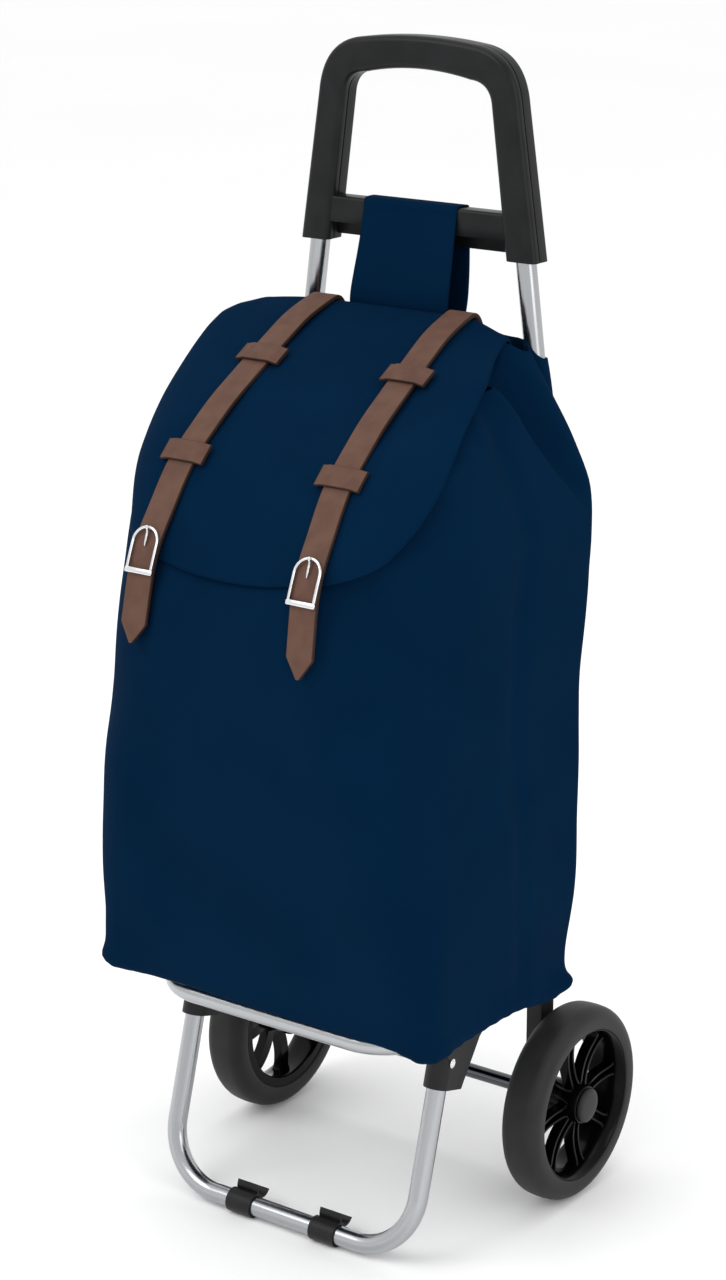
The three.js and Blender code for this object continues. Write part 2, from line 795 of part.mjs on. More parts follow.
function spoke(angle) {
  const inner = hubDiameter / 2 - 1.5;
  const outer = rimRadius - rimWall + 1;
  const face = tyreSide - spokeRecess;
  const band = (shallow, deep) => {
    const shape = new THREE.Shape();
    const middle = (inner + outer) / 2;
    shape.moveTo(face - shallow, inner);
    shape.quadraticCurveTo(face - shallow - 2 * spokeDish, middle, face - shallow, outer);
    shape.lineTo(face - deep, outer);
    shape.quadraticCurveTo(face - deep - 2 * spokeDish, middle, face - deep, inner);
    return shape;
  };
  const half = spokeWidth / 2;
  const rib = half - spokeWall;
  const beam = toSolid(acrossY(band(0, spokeDepth), -half, half, 0, 6));
  const channel = acrossY(band(-5, spokeDepth - spokeWall), -rib, rib, 0, 6);
  return toGeometry(cut(beam, channel)).rotateX(angle);
}

function rim() {
  const edge = tyreSide - rimInset;
  const inside = rimRadius - rimWall;
  const barrel = turned([
    [rimRadius, -edge], [rimRadius, edge], [rimRadius - 2, edge], [inside, edge - 5],
    [inside - 1, 0], [inside, 5 - edge], [rimRadius - 2, -edge],
  ], 48);
  const hub = turned([
    [axleRadius + gap, hubInner],
    [hubDiameter / 2 - 1, hubInner],
    [hubDiameter / 2, hubInner + 3],
    [hubDiameter / 2, hubOuter - 1],
    [hubDiameter / 2 - 1, hubOuter],
    [hubCounterbore / 2 + gap, hubOuter],
    [hubCounterbore / 2 + gap, pocketFloor],
    [axleRadius + gap, pocketFloor],
  ], 24);
  const spokes = Array.from({ length: spokeCount }, (_, i) => spoke(2 * Math.PI * i / spokeCount));
  return toGeometry(join(barrel, hub, ...spokes));
}

function hubCap() {
  const face = tyreSide + capProud;
  const back = face - capRim;
  const skirt = hubCounterbore / 2;
  return closed(turned([
    [0, face],
    [capDiameter / 2 - 1.5, face],
    [capDiameter / 2, face - 1.2],
    [capDiameter / 2, back],
    [skirt, back],
    [skirt, back - capSkirtLength],
    [skirt - capSkirtWall, back - capSkirtLength],
    [skirt - capSkirtWall, back],
    [0, back],
  ], 24));
}

function flatRing(outer, inner, thickness) {
  return closed(turned([
    [inner, 0], [outer, 0], [outer, thickness], [inner, thickness],
  ], 20));
}

function axle() {
  const half = wheelMiddle + pocketFloor + gap + pushNutThickness + 1.5;
  return closed(rod(
    new THREE.Vector3(-half, 0, axleHeight), new THREE.Vector3(half, 0, axleHeight), axleRadius, 24,
  ));
}

// ---------------------------------------------------------------- bag and soft goods

// One level of the bag: a rectangle with rounded corners, which may narrow towards the front, in
// a plane that may rise to the back.
function bagRing({ z, front, back, half, corner, narrowing, rise }, inset) {
  const steps = 6;
  const around = [[1, 1], [-1, 1], [-1, -1], [1, -1]].flatMap(([signX, signY], quarter) => {
    const radius = Math.max(2, (signY > 0 ? bagBackCorner : corner) - inset);
    const centreX = signX * (half - inset - radius);
    const centreY = signY > 0 ? back - inset - radius : front + inset + radius;
    return Array.from({ length: steps + 1 }, (_, step) => {
      const angle = Math.PI / 2 * (quarter + step / steps);
      return [centreX + radius * Math.cos(angle), centreY + radius * Math.sin(angle)];
    });
  });
  return around.map(([x, y]) => {
    const ahead = (back - y) / (back - front);
    return new THREE.Vector3(x * (1 + (narrowing - 1) * ahead), y, z + rise * (y - front));
  });
}

function bagBody() {
  const floor = { ...bagLevels[0], z: bagFloor + clothThickness };
  const outside = bagLevels.map((level) => bagRing(level, 0));
  const inside = [floor, ...bagLevels.slice(1)].map((level) => bagRing(level, clothThickness));
  return loft([...outside, ...inside.reverse()]);
}

function baseBoard() {
  const underside = bagFloor + clothThickness + gap;
  const inset = clothThickness + 2;
  const lower = bagRing({ ...bagLevels[0], z: underside }, inset);
  const upper = bagRing({ ...bagLevels[0], z: underside + boardThickness }, inset);
  return loft([lower, upper]);
}

// A point off the drape: across it by x, and out of its face by a height.
function offDrape(share, x, height) {
  const point = drape.getPointAt(share);
  const along = drape.getTangentAt(share);
  const out = new THREE.Vector3(0, along.z, -along.y);
  return point.addScaledVector(out, height).setX(x);
}

// Half width of the flap along its cloth, at a share of the drape; its last corner is rounded.
function flapHalf(share, left) {
  const spread = Math.min(1, share / 0.62) ** 0.4;
  const corner = Math.max(0, 1 - left / flapCornerRadius);
  const rounding = flapCornerRadius * (1 - Math.sqrt(1 - corner ** 2));
  return flapHingeHalf + (flapFullHalf - flapHingeHalf) * spread - rounding;
}

// The flap lies on the drape in its middle, and its sides bend down round an arc.
function flapPoint(row, across, height) {
  const end = flapEnd - flapSideRise * Math.abs(across) ** 3;
  const share = row < flapEvenRows
    ? row * flapStation
    : flapEvenRows * flapStation
      + (end - flapEvenRows * flapStation) * (row - flapEvenRows) / flapEndRows;
  const along = across * flapHalf(share, (end - share) * drape.getLength());
  const flat = flapTopFlat + (flapEndFlat - flapTopFlat) * Math.min(1, share / flapEnd);
  const turn = Math.max(0, Math.abs(along) - flat) / flapWrapRadius;
  const reach = Math.min(flat, Math.abs(along)) + (flapWrapRadius + height) * Math.sin(turn);
  const inward = flapWrapRadius * (1 - Math.cos(turn)) - height * Math.cos(turn);
  return offDrape(share, Math.sign(along) * reach, -inward);
}

function flap() {
  const rows = flapEvenRows + flapEndRows;
  const columns = 18;
  const grid = (height) => Array.from({ length: rows + 1 }, (_, row) => (
    Array.from({ length: columns + 1 }, (_, column) => (
      flapPoint(row, 2 * column / columns - 1, height)
    ))
  ));
  return slab(grid(0), grid(-clothThickness));
}

const prongEyeAt = buckleLength / 2 - buckleWire / 2;   // up the strap from the buckle's middle

function strapCentre(share) {
  return strapSpreadTop + (strapSpreadTip - strapSpreadTop) * share;
}

function strap(side) {
  const rows = Math.round(1 / flapStation);
  const length = drape.getLength();
  const grid = (height) => Array.from({ length: rows + 1 }, (_, row) => {
    const share = row / rows;
    const left = length * (1 - share);
    const half = strapWidth / 2 * Math.min(1, 0.12 + left / strapPoint);
    return [-half, half].map((x) => offDrape(share, side * strapCentre(share) + x, height));
  });
  const slot = block(-1.4, 1.4, prongEyeAt - 4.4, prongEyeAt + 4.4, -2, 8);
  slot.applyMatrix4(onStrap(buckleAt, side, 0));
  return toGeometry(cut(toSolid(slab(grid(gap + strapThickness), grid(gap))), slot));
}

// A frame set on the drape: its origin at a share of the drape over the strap's centre, X across,
// Y up along the strap and Z out of it.
function onStrap(share, side, height) {
  const origin = offDrape(share, side * strapCentre(share), height);
  const up = drape.getTangentAt(share).negate();
  const out = X.clone().cross(up);
  return new THREE.Matrix4().makeBasis(X, up, out).setPosition(origin);
}

// Leather bridge over the strap, sewn to the flap on both sides.
function keeper(share, side) {
  const half = keeperWidth / 2;
  const slot = strapWidth / 2 + 0.8;
  const clear = strapThickness + 2 * gap + 0.3;
  const foot = 0.9;
  const shape = outline([
    [-half, foot], [-slot, foot], [-slot, clear], [slot, clear], [slot, foot], [half, foot],
    [half, clear + keeperThickness - 0.6], [half - 0.8, clear + keeperThickness],
    [0.8 - half, clear + keeperThickness], [-half, clear + keeperThickness - 0.6],
  ]);
  const geometry = new THREE.ExtrudeGeometry(shape, { depth: keeperLength, bevelEnabled: false });
  geometry.translate(0, 0, -keeperLength / 2).rotateX(Math.PI / 2);
  geometry.applyMatrix4(onStrap(share, side, 0));
  return closed(geometry);
}

const buckleSeat = gap + strapThickness + gap;

// D-shaped wire frame, arched at the top, with a flat bar at the bottom.
function buckle(share, side) {
  const half = buckleWidth / 2;
  const up = buckleLength / 2;
  const arch = new THREE.Shape();
  arch.moveTo(-half, -up);
  arch.lineTo(half, -up);
  arch.lineTo(half, up - half);
  arch.absarc(0, up - half, half, 0, Math.PI);
  const inner = half - buckleWire;
  const hole = new THREE.Path();
  hole.moveTo(-inner, -up + buckleBar);
  hole.lineTo(inner, -up + buckleBar);
  hole.lineTo(inner, up - half);
  hole.absarc(0, up - half, inner, 0, Math.PI);
  arch.holes.push(hole);
  const geometry = prism(arch, buckleSeat, buckleSeat + buckleWire, alongZ, 0.6, 8);
  geometry.applyMatrix4(onStrap(share, side, 0));
  return closed(geometry);
}

// Prong: an eye round the top of the arch and a pin that lies on the strap.
function prong(share, side) {
  const radius = prongDiameter / 2;
  const eyeInner = buckleWire / 2 + gap + 0.5;
  const top = prongEyeAt;
  const middle = buckleSeat + buckleWire / 2;
  const eye = acrossX(ring(eyeInner + prongDiameter, eyeInner), -radius, radius, 0, 6);
  eye.translate(0, top, middle);
  const pin = rod(
    new THREE.Vector3(0, top - eyeInner - radius, middle),
    new THREE.Vector3(0, top - eyeInner - prongLength, middle),
    radius,
    10,
  );
  return toGeometry(join(eye, pin)).applyMatrix4(onStrap(share, side, 0));
}

// Height-dependent back of the bag in the middle plane.
function bagBackAt(z) {
  const backs = bagLevels.map(({ z: base, front, back, rise }) => [
    base + rise * (back - front), back,
  ]);
  const upper = backs.findIndex(([height]) => height >= z);
  const [z0, y0] = backs[upper - 1];
  const [z1, y1] = backs[upper];
  return y0 + (y1 - y0) * (z - z0) / (z1 - z0);
}

// Band over the handle's bar, sewn to the top of the bag's back with both its ends.
function hangingLoop() {
  const inside = 0.6;
  const front = handleFront + handleBarSetback - inside;
  const back = handleBack - handleBarSetback + inside;
  const top = handleBarTop + inside;
  const frontFoot = crest - loopFrontFoot;
  const backFoot = crest - loopBackFoot;
  const centreLine = [
    [bagBackAt(frontFoot) + loopThickness / 2 + 2 * gap, frontFoot],
    [bagBackAt(frontFoot) - 0.6, crest + 5],
    [front - loopThickness / 2, top - 5],
    [front - loopThickness / 2, top],
    [front, top + loopThickness / 2],
    [back, top + loopThickness / 2],
    [back + loopThickness / 2, top],
    [back + loopThickness / 2, handleBarTop - handleBarBackDepth],
    [bagBackAt(backFoot + 22) + loopThickness / 2 + 1.5, backFoot + 26],
    [bagBackAt(backFoot) + loopThickness / 2 + gap, backFoot],
  ].map(([y, z]) => new THREE.Vector2(y, z));
  const normals = centreLine.map((point, i) => {
    const before = centreLine[Math.max(0, i - 1)];
    const after = centreLine[Math.min(centreLine.length - 1, i + 1)];
    const along = after.clone().sub(before).normalize();
    return new THREE.Vector2(-along.y, along.x).multiplyScalar(loopThickness / 2);
  });
  const outer = centreLine.map((point, i) => point.clone().add(normals[i]));
  const inner = centreLine.map((point, i) => point.clone().sub(normals[i]));
  const shape = new THREE.Shape([...outer, ...inner.reverse()]);
  return closed(acrossX(shape, -loopWidth / 2, loopWidth / 2));
}

// Fabric sleeve of the bag's back, round the upright.
function bagSleeve(side) {
  const bottom = crest - sleeveBelowCrest;
  const ends = [bottom, bottom + sleeveLength].map((z) => uprightAxis(side, z));
  const path = new BentPath(ends, 0);
  const geometry = new THREE.ExtrudeGeometry(ring(sleeveRadius, sleeveRadius - clothThickness), {
    steps: 1,
    extrudePath: path,
    curveSegments: 9,
  });
  return closed(geometry);
}

// ---------------------------------------------------------------- finishes

const finish = {
  aluminium: { color: 0xb9bcc0, roughness: 0.32, metalness: 1 },
  chrome: { color: 0xdadcdf, roughness: 0.12, metalness: 1 },
  blackPlastic: { color: 0x2b2b2c, roughness: 0.45, metalness: 0 },
  glossBlack: { color: 0x101011, roughness: 0.15, metalness: 0 },
  tyre: { color: 0x3b3b3c, roughness: 0.6, metalness: 0 },
  cloth: { color: 0x06213b, roughness: 0.9, metalness: 0 },
  leather: { color: 0x6e5246, roughness: 0.65, metalness: 0 },
  board: { color: 0x4a4a4a, roughness: 0.8, metalness: 0 },
};

function piece(name, geometry, look) {
  geometry.computeVertexNormals();
  const mesh = new THREE.Mesh(geometry, new THREE.MeshStandardMaterial(finish[look]));
  mesh.name = name;
  return mesh;
}

// ---------------------------------------------------------------- assembly

const trolley = new THREE.Group();

function wheel(label, side) {
  const group = new THREE.Group();
  group.add(piece(`${label}_tyre`, tyre(), 'tyre'));
  group.add(piece(`${label}_rim`, rim(), 'glossBlack'));
  group.add(piece(`${label}_hub_cap`, hubCap(), 'blackPlastic'));
  group.position.set(side * wheelMiddle, 0, axleHeight);
  group.rotation.z = side < 0 ? Math.PI : 0;
  return group;
}

function frontLeg() {
  const group = new THREE.Group();
  group.add(piece('front_leg', legTube(), 'aluminium'));
  sides.forEach(([label, side]) => {
    const clip = piece(`${label}_foot`, foot(), 'blackPlastic');
    clip.position.set(side * footHalfSpacing, -footForward, footBarHeight);
    group.add(clip);
  });
  return group;
}

function handleParts() {
  const group = new THREE.Group();
  group.add(piece('handle_front', handleFrontPiece(), 'blackPlastic'));
  group.add(piece('handle_back', handleBackPiece(), 'blackPlastic'));
  return group;
}

function runningGear(label, side) {
  const group = new THREE.Group();
  const bracket = piece(`${label}_axle_bracket`, axleBracket(), 'blackPlastic');
  bracket.position.x = side * frameHalfWidth;
  const washer = piece(
    `${label}_axle_washer`,
    flatRing(washerDiameter / 2, axleRadius + gap, washerThickness),
    'blackPlastic',
  );
  washer.position.set(side * (frameHalfWidth + postWidth / 2 + gap), 0, axleHeight);
  washer.rotation.z = side < 0 ? Math.PI : 0;
  const nut = piece(
    `${label}_push_nut`,
    flatRing(pushNutDiameter / 2, axleRadius + gap, pushNutThickness),
    'chrome',
  );
  nut.position.set(side * (wheelMiddle + pocketFloor + gap), 0, axleHeight);
  nut.rotation.z = side < 0 ? Math.PI : 0;
  group.add(bracket, washer, nut);
  return group;
}

function legMounting(label, side) {
  const group = new THREE.Group();
  const pin = piece(`${label}_leg_rivet`, rivet(), 'chrome');
  pin.position.copy(pivot);
  group.add(piece(`${label}_leg_bracket`, legBracket(), 'blackPlastic'), pin);
  group.position.x = side * frameHalfWidth;
  return group;
}

function bagFlap() {
  const group = new THREE.Group();
  group.add(piece('flap', flap(), 'cloth'));
  sides.forEach(([label, side]) => {
    group.add(
      piece(`${label}_strap`, strap(side), 'leather'),
      piece(`${label}_upper_keeper`, keeper(upperKeeperAt, side), 'leather'),
      piece(`${label}_lower_keeper`, keeper(lowerKeeperAt, side), 'leather'),
      piece(`${label}_buckle`, buckle(buckleAt, side), 'chrome'),
      piece(`${label}_prong`, prong(buckleAt, side), 'chrome'),
    );
  });
  return group;
}

function bag() {
  const group = new THREE.Group();
  group.add(piece('bag_body', bagBody(), 'cloth'));
  group.add(piece('base_board', baseBoard(), 'board'));
  group.add(piece('hanging_loop', hangingLoop(), 'cloth'));
  sides.forEach(([label, side]) => {
    group.add(piece(`${label}_sleeve`, bagSleeve(side), 'cloth'));
  });
  return group;
}

trolley.add(piece('platform_tube', platformTube(), 'aluminium'));
trolley.add(piece('axle', axle(), 'chrome'));
trolley.add(handleParts(), frontLeg(), bag(), bagFlap());
sides.forEach(([label, side]) => {
  trolley.add(piece(`${label}_upright`, upright(side), 'aluminium'));
  trolley.add(runningGear(label, side), legMounting(label, side), wheel(label, side));
});

// Centres the trolley over its origin, with its lowest point on the floor.
trolley.updateMatrixWorld(true);
const box = new THREE.Box3().setFromObject(trolley, true);
trolley.position.set(-(box.min.x + box.max.x) / 2, -(box.min.y + box.max.y) / 2, -box.min.z);

export default trolley;
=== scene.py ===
"""Shopping trolley on wheels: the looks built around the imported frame.

Shapes are worked out in millimetres, with y counted from the axle, and put into the meshes in
metres. Each surface is a grid of points or a profile carried along a path.
"""

import math
from contextlib import contextmanager

import bmesh
import bpy
import numpy as np
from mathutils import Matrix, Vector


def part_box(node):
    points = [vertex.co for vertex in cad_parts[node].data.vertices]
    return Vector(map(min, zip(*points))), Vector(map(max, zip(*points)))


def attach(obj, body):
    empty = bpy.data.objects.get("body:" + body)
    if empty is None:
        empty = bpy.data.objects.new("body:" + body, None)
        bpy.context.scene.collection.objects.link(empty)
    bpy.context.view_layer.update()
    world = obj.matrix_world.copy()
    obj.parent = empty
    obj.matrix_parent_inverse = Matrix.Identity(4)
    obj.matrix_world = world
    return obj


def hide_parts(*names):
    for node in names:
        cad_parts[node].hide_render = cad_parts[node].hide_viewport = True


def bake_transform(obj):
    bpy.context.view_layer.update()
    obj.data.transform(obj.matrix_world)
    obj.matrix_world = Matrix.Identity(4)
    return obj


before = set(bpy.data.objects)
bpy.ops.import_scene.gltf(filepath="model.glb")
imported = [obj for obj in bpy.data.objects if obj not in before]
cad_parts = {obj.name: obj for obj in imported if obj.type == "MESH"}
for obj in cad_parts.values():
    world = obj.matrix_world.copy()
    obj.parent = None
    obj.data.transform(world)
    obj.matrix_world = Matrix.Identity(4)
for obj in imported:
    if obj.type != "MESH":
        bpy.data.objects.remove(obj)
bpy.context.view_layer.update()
axle_low, axle_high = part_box("axle")
AXLE_Y = (axle_low.y + axle_high.y) * 500  # its middle in the row's frame, in millimetres
MM = 0.001  # one millimetre in metres
SIDES = (("left", -1), ("right", 1))


def place(points):
    """Millimetres from the axle to metres in the row's frame: y is shifted, all is scaled."""
    return (np.asarray(points, float) + (0, AXLE_Y, 0)) * MM


def spot(x, y, z):
    """One placed point."""
    return tuple(place((x, y, z)))


# ------------------------------------------------------------------ curves


def through(points, count):
    """Points evenly spread along a Catmull-Rom spline: each span is the cubic that passes through
    its two ends with slopes of half the chord between their neighbours."""
    p = np.asarray(points, float)
    p = np.vstack([2 * p[0] - p[1], p, 2 * p[-1] - p[-2]])
    t = np.linspace(0, 1, 40)[:, None]
    a, b, c, d = (p[i : len(p) - 3 + i, None] for i in range(4))
    spans = 0.5 * (
        2 * b
        + (c - a) * t
        + (2 * a - 5 * b + 4 * c - d) * t**2
        + (3 * b - a - 3 * c + d) * t**3
    )
    dense = spans.reshape(-1, p.shape[1])
    length = lengths_along(dense)
    wanted = np.linspace(0, length[-1], count)
    return np.stack([np.interp(wanted, length, column) for column in dense.T], 1)


def lengths_along(points):
    """The length of a polyline up to each of its points."""
    steps = np.linalg.norm(np.diff(points, axis=0), axis=1)
    return np.concatenate([[0], np.cumsum(steps)])


def bent(corners, radius, steps=24):
    """A polyline whose inner corners are rounded: each becomes an arc tangent to both straights."""
    corners = [np.asarray(c, float) for c in corners]
    out = [corners[0]]
    for before, corner, after in zip(corners, corners[1:], corners[2:]):
        a = (before - corner) / np.linalg.norm(before - corner)
        b = (after - corner) / np.linalg.norm(after - corner)
        half = np.arccos(np.clip(a @ b, -1, 1)) / 2
        middle = (a + b) / np.linalg.norm(a + b)
        centre = corner + middle * radius / math.sin(half)
        reach = math.pi / 2 - half
        across = (b - a) / np.linalg.norm(b - a)
        angle = np.linspace(-reach, reach, steps)[:, None]
        out.extend(centre - radius * (middle * np.cos(angle) - across * np.sin(angle)))
    out.append(corners[-1])
    return np.array(out)


def directions(path):
    """Unit tangents of a path by central differences."""
    along = np.gradient(path, axis=0)
    return along / np.linalg.norm(along, axis=1, keepdims=True)


def rounded_section(width, height, radius, steps=4):
    """A rectangle about the origin with its corners turned at a radius, counterclockwise."""
    angle = np.linspace(0, math.pi / 2, steps + 1)
    corners = enumerate(((1, 1), (-1, 1), (-1, -1), (1, -1)))
    turned_corners = [
        (
            sx * (width / 2 - radius) + radius * np.cos(angle + quarter * math.pi / 2),
            sy * (height / 2 - radius) + radius * np.sin(angle + quarter * math.pi / 2),
        )
        for quarter, (sx, sy) in corners
    ]
    return np.concatenate(turned_corners, 1).T


def ring_of(radius, sides):
    """A circle's points."""
    angle = np.arange(sides) * 2 * math.pi / sides
    return np.stack([radius * np.cos(angle), radius * np.sin(angle)], 1)


def swell(value, centre, width):
    """A bell curve: exp(-((value - centre) / width)^2 / 2)."""
    return np.exp(-0.5 * ((value - centre) / width) ** 2)


def smooth_step(value):
    """0 below 0 and 1 above 1, with the cubic 3t^2 - 2t^3 between."""
    t = np.clip(value, 0, 1)
    return t * t * (3 - 2 * t)


def table_of(rows, z):
    """Columns of a height table at the given heights."""
    rows = np.asarray(rows, float)
    return [np.interp(z, rows[:, 0], rows[:, k]) for k in range(1, rows.shape[1])]


# ------------------------------------------------------------------ pieces


def grid_faces(rows, columns, wrap_columns, wrap_rows=False):
    """The quads of a grid, row by row; a wrapped direction joins its last line to its first."""
    i, j = np.meshgrid(
        np.arange(rows if wrap_rows else rows - 1),
        np.arange(columns if wrap_columns else columns - 1),
        indexing="ij",
    )
    i, j = i.ravel(), j.ravel()
    up, right = (i + 1) % rows, (j + 1) % columns
    quads = [i * columns + j, i * columns + right, up * columns + right, up * columns + j]
    return np.stack(quads, 1)


def grid_uv(points, wrap_columns):
    """For each quad's corners, the lengths in millimetres across and along the grid."""
    closed = np.concatenate([points, points[:, :1]], 1) if wrap_columns else points
    across = np.linalg.norm(np.diff(closed, axis=1), axis=2).mean(0)
    along = np.linalg.norm(np.diff(closed, axis=0), axis=2).mean(1)
    u = np.concatenate([[0], np.cumsum(across)])
    v = np.concatenate([[0], np.cumsum(along)])
    i, j = np.meshgrid(np.arange(len(v) - 1), np.arange(len(u) - 1), indexing="ij")
    i, j = i.ravel(), j.ravel()
    corners = [(j, i), (j + 1, i), (j + 1, i + 1), (j, i + 1)]
    return np.stack([np.stack([u[a], v[b]], 1) for a, b in corners], 1)


def linked(name, data):
    """A new object in the scene for a mesh, a light or the camera."""
    made = bpy.data.objects.new(name, data)
    bpy.context.scene.collection.objects.link(made)
    return made


def new_piece(name, points, faces, material, corner_uv=None):
    """A smooth mesh object at the origin made of placed points and lists of their numbers."""
    mesh = bpy.data.meshes.new(name)
    mesh.from_pydata(place(points.reshape(-1, 3)).tolist(), [], faces)
    if corner_uv is not None:
        layer = mesh.uv_layers.new(name="Lengths")
        flat = np.zeros((len(mesh.loops), 2))
        flat[: corner_uv.size // 2] = corner_uv.reshape(-1, 2)
        layer.data.foreach_set("uv", flat.ravel())
    mesh.materials.append(material)
    mesh.shade_smooth()
    return linked(name, mesh)


@contextmanager
def opened(mesh):
    """Opens a mesh for joining or turning its faces, and writes it back."""
    work = bmesh.new()
    work.from_mesh(mesh)
    yield work
    work.to_mesh(mesh)
    work.free()


def face_outwards(piece):
    """Turns a closed mesh's faces outwards."""
    with opened(piece.data) as work:
        bmesh.ops.recalc_face_normals(work, faces=work.faces)
    return piece


def facing(piece, inside):
    """Turns an open sheet so that its faces look away from a point, in millimetres."""
    count = len(piece.data.polygons)
    centre, normal = np.zeros(count * 3), np.zeros(count * 3)
    piece.data.polygons.foreach_get("center", centre)
    piece.data.polygons.foreach_get("normal", normal)
    away = (centre.reshape(-1, 3) - place(inside)) * normal.reshape(-1, 3)
    if away.sum() < 0:
        piece.data.flip_normals()
    return piece


def crisp(piece, degrees):
    """Keeps the edges sharper than an angle crisp in the smooth shading."""
    piece.data.set_sharp_from_angle(angle=math.radians(degrees))
    return piece


def closed_grid(name, points, material):
    """A closed solid from rings of points: the rings are the rows, and each end is a flat face."""
    rows, columns = points.shape[:2]
    end = np.arange(columns)
    faces = grid_faces(rows, columns, True).tolist()
    faces += [end[::-1].tolist(), (end + (rows - 1) * columns).tolist()]
    return face_outwards(new_piece(name, points, faces, material, grid_uv(points, True)))


def open_sheet(name, points, material, inside, wrap=False):
    """A sheet of one face, turned away from a point inside."""
    faces = grid_faces(*points.shape[:2], wrap).tolist()
    return facing(new_piece(name, points, faces, material, grid_uv(points, wrap)), inside)


def lined(piece, thickness, lining=None):
    """Gives a sheet its thickness inwards; the inner face may show the lining."""
    wall = piece.modifiers.new("Thickness", "SOLIDIFY")
    wall.thickness = thickness * MM
    wall.offset = -1
    wall.use_even_offset = False
    if lining is not None:
        piece.data.materials.append(lining)
        wall.material_offset = 1


def swept(name, path, profile, material, across, scale=1):
    """A profile carried along a path: its first coordinate lies along across x tangent, its
    second along across. The scale widens the profile at each station."""
    along = directions(path)
    second = np.broadcast_to(np.asarray(across, float), path.shape)
    second = second - along * np.sum(along * second, 1, keepdims=True)
    second = second / np.linalg.norm(second, axis=1, keepdims=True)
    first = np.cross(second, along)
    shape = np.asarray(profile, float)[None] * scale
    points = path[:, None] + shape[..., :1] * first[:, None] + shape[..., 1:] * second[:, None]
    return closed_grid(name, points, material)


def both_ends(half, *middle):
    """A profile of (radius, x) pairs: one end, what lies in the middle, and the mirrored end."""
    return [*half, *middle, *((radius, -x) for radius, x in reversed(half))]


def turned(name, profile, centre, side, material, segments):
    """A profile of (radius, x) pairs turned about a line along x through the centre. The profile
    is closed on itself, or it starts and ends on the line, where it meets in one point."""
    profile = np.asarray(profile, float)
    angle = np.arange(segments) * 2 * math.pi / segments
    x = np.repeat(profile[:, 1:2] * side, segments, 1)
    y = profile[:, :1] * np.cos(angle)[None]
    z = profile[:, :1] * np.sin(angle)[None]
    points = np.stack([x, y, z], 2) + np.asarray(centre, float)
    if profile[0, 0] > 0:
        faces = grid_faces(len(profile), segments, True, True).tolist()
    else:
        loop = np.arange(segments)
        following = np.roll(loop, -1)
        rows = len(profile) - 2
        first_pole = np.full(segments, rows * segments)
        last = (rows - 1) * segments
        faces = grid_faces(rows, segments, True).tolist()
        faces += np.stack([first_pole, following, loop], 1).tolist()
        faces += np.stack([first_pole + 1, last + loop, last + following], 1).tolist()
        points = np.vstack([points[1:-1].reshape(-1, 3), points[0, :1], points[-1, :1]])
    return face_outwards(new_piece(name, points, faces, material))


def fit(piece, body, node_name):
    """Ties a finished piece to its body and the frame solid it stands for."""
    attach(piece, body)
    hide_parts(node_name)
    return piece


CARRIED_EDGE = 32  # degrees from which an edge of a carried-over solid is an edge
SAME_POINT, SAME_PLANE = 2e-6, 0.6  # metres, degrees


def carried_over(name, node_name, material, body, bevel):
    """A frame solid of the right shape, shown as a copy: its loose triangles are merged, its flat
    faces joined, and its edges get a bevel in millimetres."""
    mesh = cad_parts[node_name].data.copy()
    mesh.name = name
    with opened(mesh) as work:
        bmesh.ops.remove_doubles(work, verts=work.verts, dist=SAME_POINT)
        bmesh.ops.dissolve_limit(
            work,
            angle_limit=math.radians(SAME_PLANE),
            verts=work.verts,
            edges=work.edges,
            delimit={"NORMAL"},
        )
        bmesh.ops.recalc_face_normals(work, faces=work.faces)
    mesh.materials.clear()
    mesh.materials.append(material)
    mesh.shade_smooth()
    piece = crisp(linked(name, mesh), CARRIED_EDGE)
    softened = piece.modifiers.new("Soft edges", "BEVEL")
    softened.width = bevel * MM
    softened.segments = 2
    softened.limit_method = "ANGLE"
    softened.angle_limit = math.radians(CARRIED_EDGE)
    softened.harden_normals = False
    fit(piece, body, node_name)


# ------------------------------------------------------------------ finishes


def feeds(tree, made, values):
    """Gives a node's inputs their values: an output is linked, a number or a colour is set."""
    for key, value in values.items():
        if hasattr(value, "links"):
            tree.links.new(value, made.inputs[key])
        else:
            made.inputs[key].default_value = value
    return made


def node(tree, kind, values=None, **settings):
    """A node with its settings and its input values, given as {input: value}."""
    made = tree.nodes.new(kind)
    for key, value in settings.items():
        setattr(made, key, value)
    return feeds(tree, made, values or {})


def sums(tree, operation, *operands):
    """A Math node's result; each operand is a socket or a number."""
    inputs = dict(enumerate(operands))
    return node(tree, "ShaderNodeMath", inputs, operation=operation).outputs[0]


def noise(tree, vector, scale, detail, roughness=0.5):
    """A noise texture's value."""
    values = {"Vector": vector, "Scale": scale, "Detail": detail, "Roughness": roughness}
    return node(tree, "ShaderNodeTexNoise", values).outputs[0]


def group_of(name, factor, *outputs):
    """An empty shader node group with a vector, a number that the vector is multiplied by if its
    name is given, and outputs that are numbers. Returns the tree, the vector and its end node."""
    tree = bpy.data.node_groups.new(name, "ShaderNodeTree")
    tree.interface.new_socket("Vector", in_out="INPUT", socket_type="NodeSocketVector")
    if factor:
        made = tree.interface.new_socket(factor, in_out="INPUT", socket_type="NodeSocketFloat")
        made.default_value = 1.0
    for label in outputs:
        tree.interface.new_socket(label, in_out="OUTPUT", socket_type="NodeSocketFloat")
    given, out = tree.nodes.new("NodeGroupInput"), tree.nodes.new("NodeGroupOutput")
    vector = given.outputs["Vector"]
    if factor:
        inputs = {0: vector, "Scale": given.outputs[factor]}
        vector = node(tree, "ShaderNodeVectorMath", inputs, operation="SCALE").outputs[0]
    return tree, vector, out


